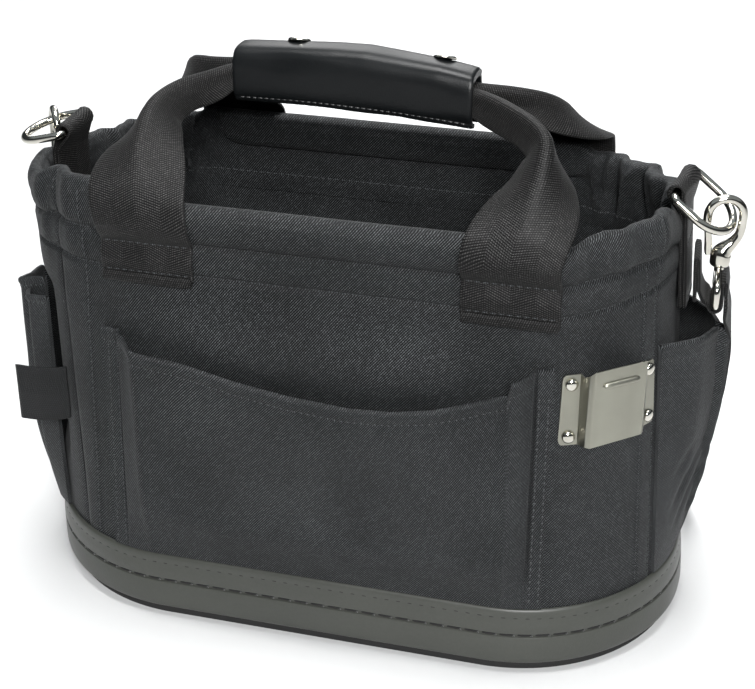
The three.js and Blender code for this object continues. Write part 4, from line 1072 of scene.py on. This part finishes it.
def snap_hook(side, axes):
    shank = curve(np.concatenate([HOOK[:, :2], HOOK[:, :1] * 0], 1), 60)
    radii = by_row(HOOK, np.linspace(0, len(HOOK) - 1, 61), 2)
    turn = np.linspace(math.pi / 2, -math.pi / 2, 30)
    a = chain(shank[:, 0], 17 + 9 * np.cos(turn), [14.6, 12.9, 12.3, 12.2])
    b = chain(shank[:, 1], 9 * np.sin(turn), [-9, -9, -9, -9])
    radii = chain(radii, np.full(32, 2.3), [2.0, 1.5])
    wire(f"hook_{side}", f"{side}_hook", place(axes, a, b), radii, False, axes[3])
    wide = unit(SIDES[side])
    corners = [place(axes, p, 0.0) + wide * q * EYE_HALF
               for p, q in ((EYE_NEAR, -1), (EYE_NEAR, 1), (EYE_FAR, 1), (EYE_FAR, -1))]
    line = rounded_path(np.array(corners), 4.4)
    wire(f"eye_{side}", f"{side}_eye", line, 2.0, True, np.cross(axes[1], wide))
    turn = np.linspace(0, 2 * math.pi, 25)[:-1]
    oval = lambda q: np.sign(q) * np.abs(q) ** 0.55
    k = np.linspace(0, len(GATE) - 1, 40)
    a, b, half = (by_row(GATE, k, q)[:, None] for q in range(3))
    depth = 1.9 * np.where((k < 0.5) | (k > len(GATE) - 1.5), 0.75, 1.0)[:, None]
    loops = place(axes, a + 0 * turn, b + half * oval(np.cos(turn)), depth * oval(np.sin(turn)))
    gate = loft(f"gate_{side}", loops, BRIGHT, caps="ngon", body=f"{side}_gate", slot="hook_metal")
    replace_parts(gate, f"{side}_gate")


snap_hook("right", RIGHT_HOOK)
snap_hook("left", LEFT_HOOK)


# Flat webbing that follows its rows: ring tabs and shoulder strap
BAR_TURN = 3.85


def exact_strip(points, across):
    along = tangents(points)
    side = unit(across - along * (across * along).sum(1, keepdims=True))
    face = np.cross(along, side)
    shares = chain([-1, -0.965], np.linspace(-0.9, 0.9, 11), [0.965, 1])[:, None]
    middle = points[:, None] + side[:, None] * shares * STRAP_WIDTH / 2
    lift = face[:, None] * worn_edges(shares) * STRAP_THICK / 2
    return shell(middle + lift, middle - lift), side, face


def resample(points, across, gap):
    run = run_of(points)
    at = np.linspace(0, run[-1], int(run[-1] / gap) + 1)
    return on_line(at, run, points), on_line(at, run, across)


def ring_tab(side, axes, sign, tail, flat):
    bar, axis = axes[0], axes[2]
    heights = np.array([186, 200, 214, 228, 237.0])
    turns = np.linspace(math.pi + 0.5, -0.5, 24)
    x = chain(tail(heights), abs(bar[0]) + BAR_TURN * np.cos(turns), tail(heights[::-1]) + 2.4)
    z = chain(heights, bar[2] + BAR_TURN * np.sin(turns), heights[::-1])
    points = np.stack([x * sign, 0 * x, z], -1)
    across = np.repeat([flat, axis, flat], (len(heights), len(turns), len(heights)), axis=0)
    points, across = resample(points, across, 1.6)
    loops, widths, faces = exact_strip(points, across)
    made = loft(f"tab_{side}", loops, WEBBING, slot="webbing")
    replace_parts(made, f"{side}_tab")
    shares = np.linspace(-11, 11, 16)[:, None]
    parts = []
    outer = np.arange(len(points)) > len(points) // 2
    for row in (190.0, 222.0):
        k = int(np.argmin(np.abs(points[:, 2] - row) + 1000 * ~outer))
        face = faces[k] * np.sign(faces[k][0] * sign)
        line = points[k] + widths[k] * shares + face * 1.02
        parts += stitch_parts(line, np.tile(face, (16, 1)))
    joined(f"tab_{side}_stitches", parts, THREAD, slot="webbing")


ring_tab("right", RIGHT_RING, 1, lambda z: wall(2.5, z, 2.1)[..., 0], (0.0, 1.0, 0.0))
ring_tab("left", LEFT_RING, -1, lambda z: 169.6 + 0 * z, (0.28, 0.96, 0.0))

ARC = np.linspace(0, math.pi, 13)
EYE_TURN = 3.35 * np.stack([-np.cos(ARC), np.sin(ARC)], -1)
RIGHT_END = chain(
    # away from the bag, up
    [[-10.4, 2], [-11.4, 25], [-11.2, 25.9], [-10.6, 26.3], [-10.0, 25.9], [-9.8, 25]],
    [[-8.6, 8], [-6.4, 2.6]], EYE_TURN * (1, -1),
    [[3.4, 12.5], [3.6, 13.4], [4.3, 13.8], [5.0, 13.4], [5.2, 12.5], [6.0, 4]],
)
LEFT_END = chain([[-3.8, -14], [-3.4, -6]], EYE_TURN, [[4.0, -8], [5.2, -26]])
LYING = [(118, 141), (80, 151), (30, 156), (-30, 156), (-80, 151), (-118, 142)]
ROUTE = np.array([
    # x, y, z and the way the strap faces
    [196.6, 3.5, 184, 0.99, 0.06, 0.05], [198.6, 9.5, 173, 0.98, 0.1, 0.05],
    [198.8, 15.2, 160, 0.98, 0.16, 0], [197.4, 20.4, 147, 0.97, 0.22, 0], [195.0, 26, 130, 0.95, 0.3, 0.05],
    [190.5, 38, 106, 0.93, 0.34, 0.12], [185, 53, 78, 0.85, 0.38, 0.32], [179, 71, 46, 0.68, 0.4, 0.6],
    [169, 92, 15.5, 0.4, 0.3, 0.87], [158, 111, 1.3, 0.1, 0.1, 0.99], [143, 127, -1.45, 0, 0, 1],
    *([x, y, -1.5, 0, 0, 1] for x, y in LYING), [-146, 129, -1.45, 0, 0, 1],
    [-162, 114, 1.8, -0.1, 0.1, 0.99],
    [-174, 96, 18.5, -0.4, 0.3, 0.87], [-184, 77, 50, -0.68, 0.42, 0.6], [-193, 60, 85, -0.87, 0.4, 0.27],
    [-199, 47, 118, -0.93, 0.35, 0.08], [-199.5, 40, 138, -0.95, 0.3, 0],
    [-199, 33, 152, -0.97, 0.22, -0.1], [-197.4, 27.5, 163, -0.97, 0.2, -0.1],
    [-190.5, 22, 172, -0.97, 0.2, -0.1],
])


def strap_end(axes, side, rows):
    bar = place(axes, EYE_FAR, 0.0)
    out = unit(np.array([side[1], -side[0], 0.0]))
    out = out if out.dot(bar) > 0 else -out
    points = bar + out * rows[:, :1] + UP * rows[:, 1:]
    return points, np.tile(side, (len(rows), 1))


def shoulder_strap():
    right, right_across = strap_end(RIGHT_HOOK, SIDES["right"], RIGHT_END)
    left, left_across = strap_end(LEFT_HOOK, SIDES["left"], LEFT_END)
    rows = chain(right[-1:], ROUTE[:, :3], left[:1])
    count = (len(rows) - 1) * 8
    route = curve(rows, count)
    k = np.clip(np.linspace(-1, len(ROUTE), count + 1), 0, len(ROUTE) - 1)
    facing = on_line(k, np.arange(len(ROUTE)), ROUTE[:, 3:])
    across = np.cross(facing, tangents(route))
    points = chain(right[:-1], route, left[1:])
    across = unit(chain(right_across[:-1], across, left_across[1:]))
    for i in range(1, len(across)):
        if across[i].dot(across[i - 1]) < 0:
            across[i] = -across[i]
    points, across = resample(points, across, 1.5)
    made = loft("strap", exact_strip(points, across)[0], STRAP, slot="webbing")
    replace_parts(made, "shoulder_strap")


shoulder_strap()


# Side tag: a folded tape caught in the left front seam, left plain
def side_tag():
    line = curve([
        [-150.2, -71.5, 0], [-154.5, -71.7, 0], [-160, -71.3, 0], [-166, -70.5, 0], [-174, -68.8, 0],
        [-184, -66.4, 0]], 40)
    side = side_normals(line)
    k = np.linspace(0, 1, 41)
    half = side * 0.68 * rounded_end(k)[:, None]
    z = mix(mix(104, 96, k)[:, None], mix(136, 130, k)[:, None], np.linspace(0, 1, 18)[None, :])
    rise = UP * z[..., None]
    loops = shell((line + half)[:, None] + rise, (line - half)[:, None] + rise)
    made = loft("tag_tape", loops, TAPE, slot="tag")
    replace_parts(made, "side_tag")


side_tag()


# Floor, light and camera
def stage():
    mesh = bpy.data.meshes.new("floor")
    mesh.from_pydata([(-6, -6, 0), (6, -6, 0), (6, 6, 0), (-6, 6, 0)], [], [(0, 1, 2, 3)])
    pale, _, shader = tree("pale_floor", 0.9, spec=0.1)
    shader.inputs["Base Color"].default_value = (0.58, 0.58, 0.58, 1)
    mesh.materials.append(pale)
    linked("floor", mesh)


def aimed(name, data, at, to, roll=0.0):
    """Lamp or camera at one point that looks to another."""
    back = unit(np.subtract(at, to))
    right = unit(np.cross(UP, back)) if abs(back[2]) < 0.99 else np.array([1.0, 0, 0])
    up = np.cross(back, right)
    c, s = math.cos(roll), math.sin(roll)
    turn = np.stack([right * c + up * s, up * c - right * s, back], 1)
    made = linked(name, data)
    made.matrix_world = Matrix([[*q, w] for q, w in zip(turn, at)] + [[0, 0, 0, 1]])
    return made


def lamp(name, power, size, at, to, spread=180):
    data = bpy.data.lights.new(name, "AREA")
    data.energy = power
    data.shape = "RECTANGLE"
    data.size, data.size_y = size
    data.spread = math.radians(spread)
    aimed(name, data, at, to)


LOOK_AT = np.array([7.31, 0, 138.2]) * 0.001
DISTANCE = 0.98314
AZIMUTH, ELEVATION, ROLL = 16.47, 27.6, -0.62


def camera():
    az, el, roll = (math.radians(q) for q in (AZIMUTH, ELEVATION, ROLL))
    back = np.array([math.sin(az) * math.cos(el), -math.cos(az) * math.cos(el), math.sin(el)])
    data = bpy.data.cameras.new("camera")
    data.sensor_fit = "HORIZONTAL"
    data.sensor_width = 36
    data.lens = 83.46
    bpy.context.scene.camera = aimed("camera", data, LOOK_AT + back * DISTANCE, LOOK_AT, roll)


stage()
lamp("key", 80, (0.7, 0.7), (0.7, -1.95, 1.5), (0, 0, 0.12))
lamp("top", 7.5, (1.0, 1.0), (0.05, 0.1, 2.1), (0.05, 0.1, 0), 60)
lamp("back", 10, (1.2, 1.2), (-0.25, 1.35, 1.6), (-0.25, 1.3, 0), 75)
lamp("rear", 18, (1.2, 1.2), (-0.5, 2.2, 1.4), (0, 0, 0.15))
world = bpy.data.worlds.new("studio")
world.use_nodes = True
sky = world.node_tree
way = node(sky, "ShaderNodeSeparateXYZ", Vector=coordinate(sky, "Generated"))
tone = ramp(sky, way.outputs[2],
            (0.0, (0.1, 0.11, 0.12)), (0.35, (0.14, 0.15, 0.16)), (0.5, (0.9, 1, 1.06)))
sky.links.new(tone, sky.nodes["Background"].inputs[0])
sky.nodes["Background"].inputs[1].default_value = 0.3
bpy.context.scene.world = world
bpy.context.scene.view_settings.view_transform = "Standard"
camera()
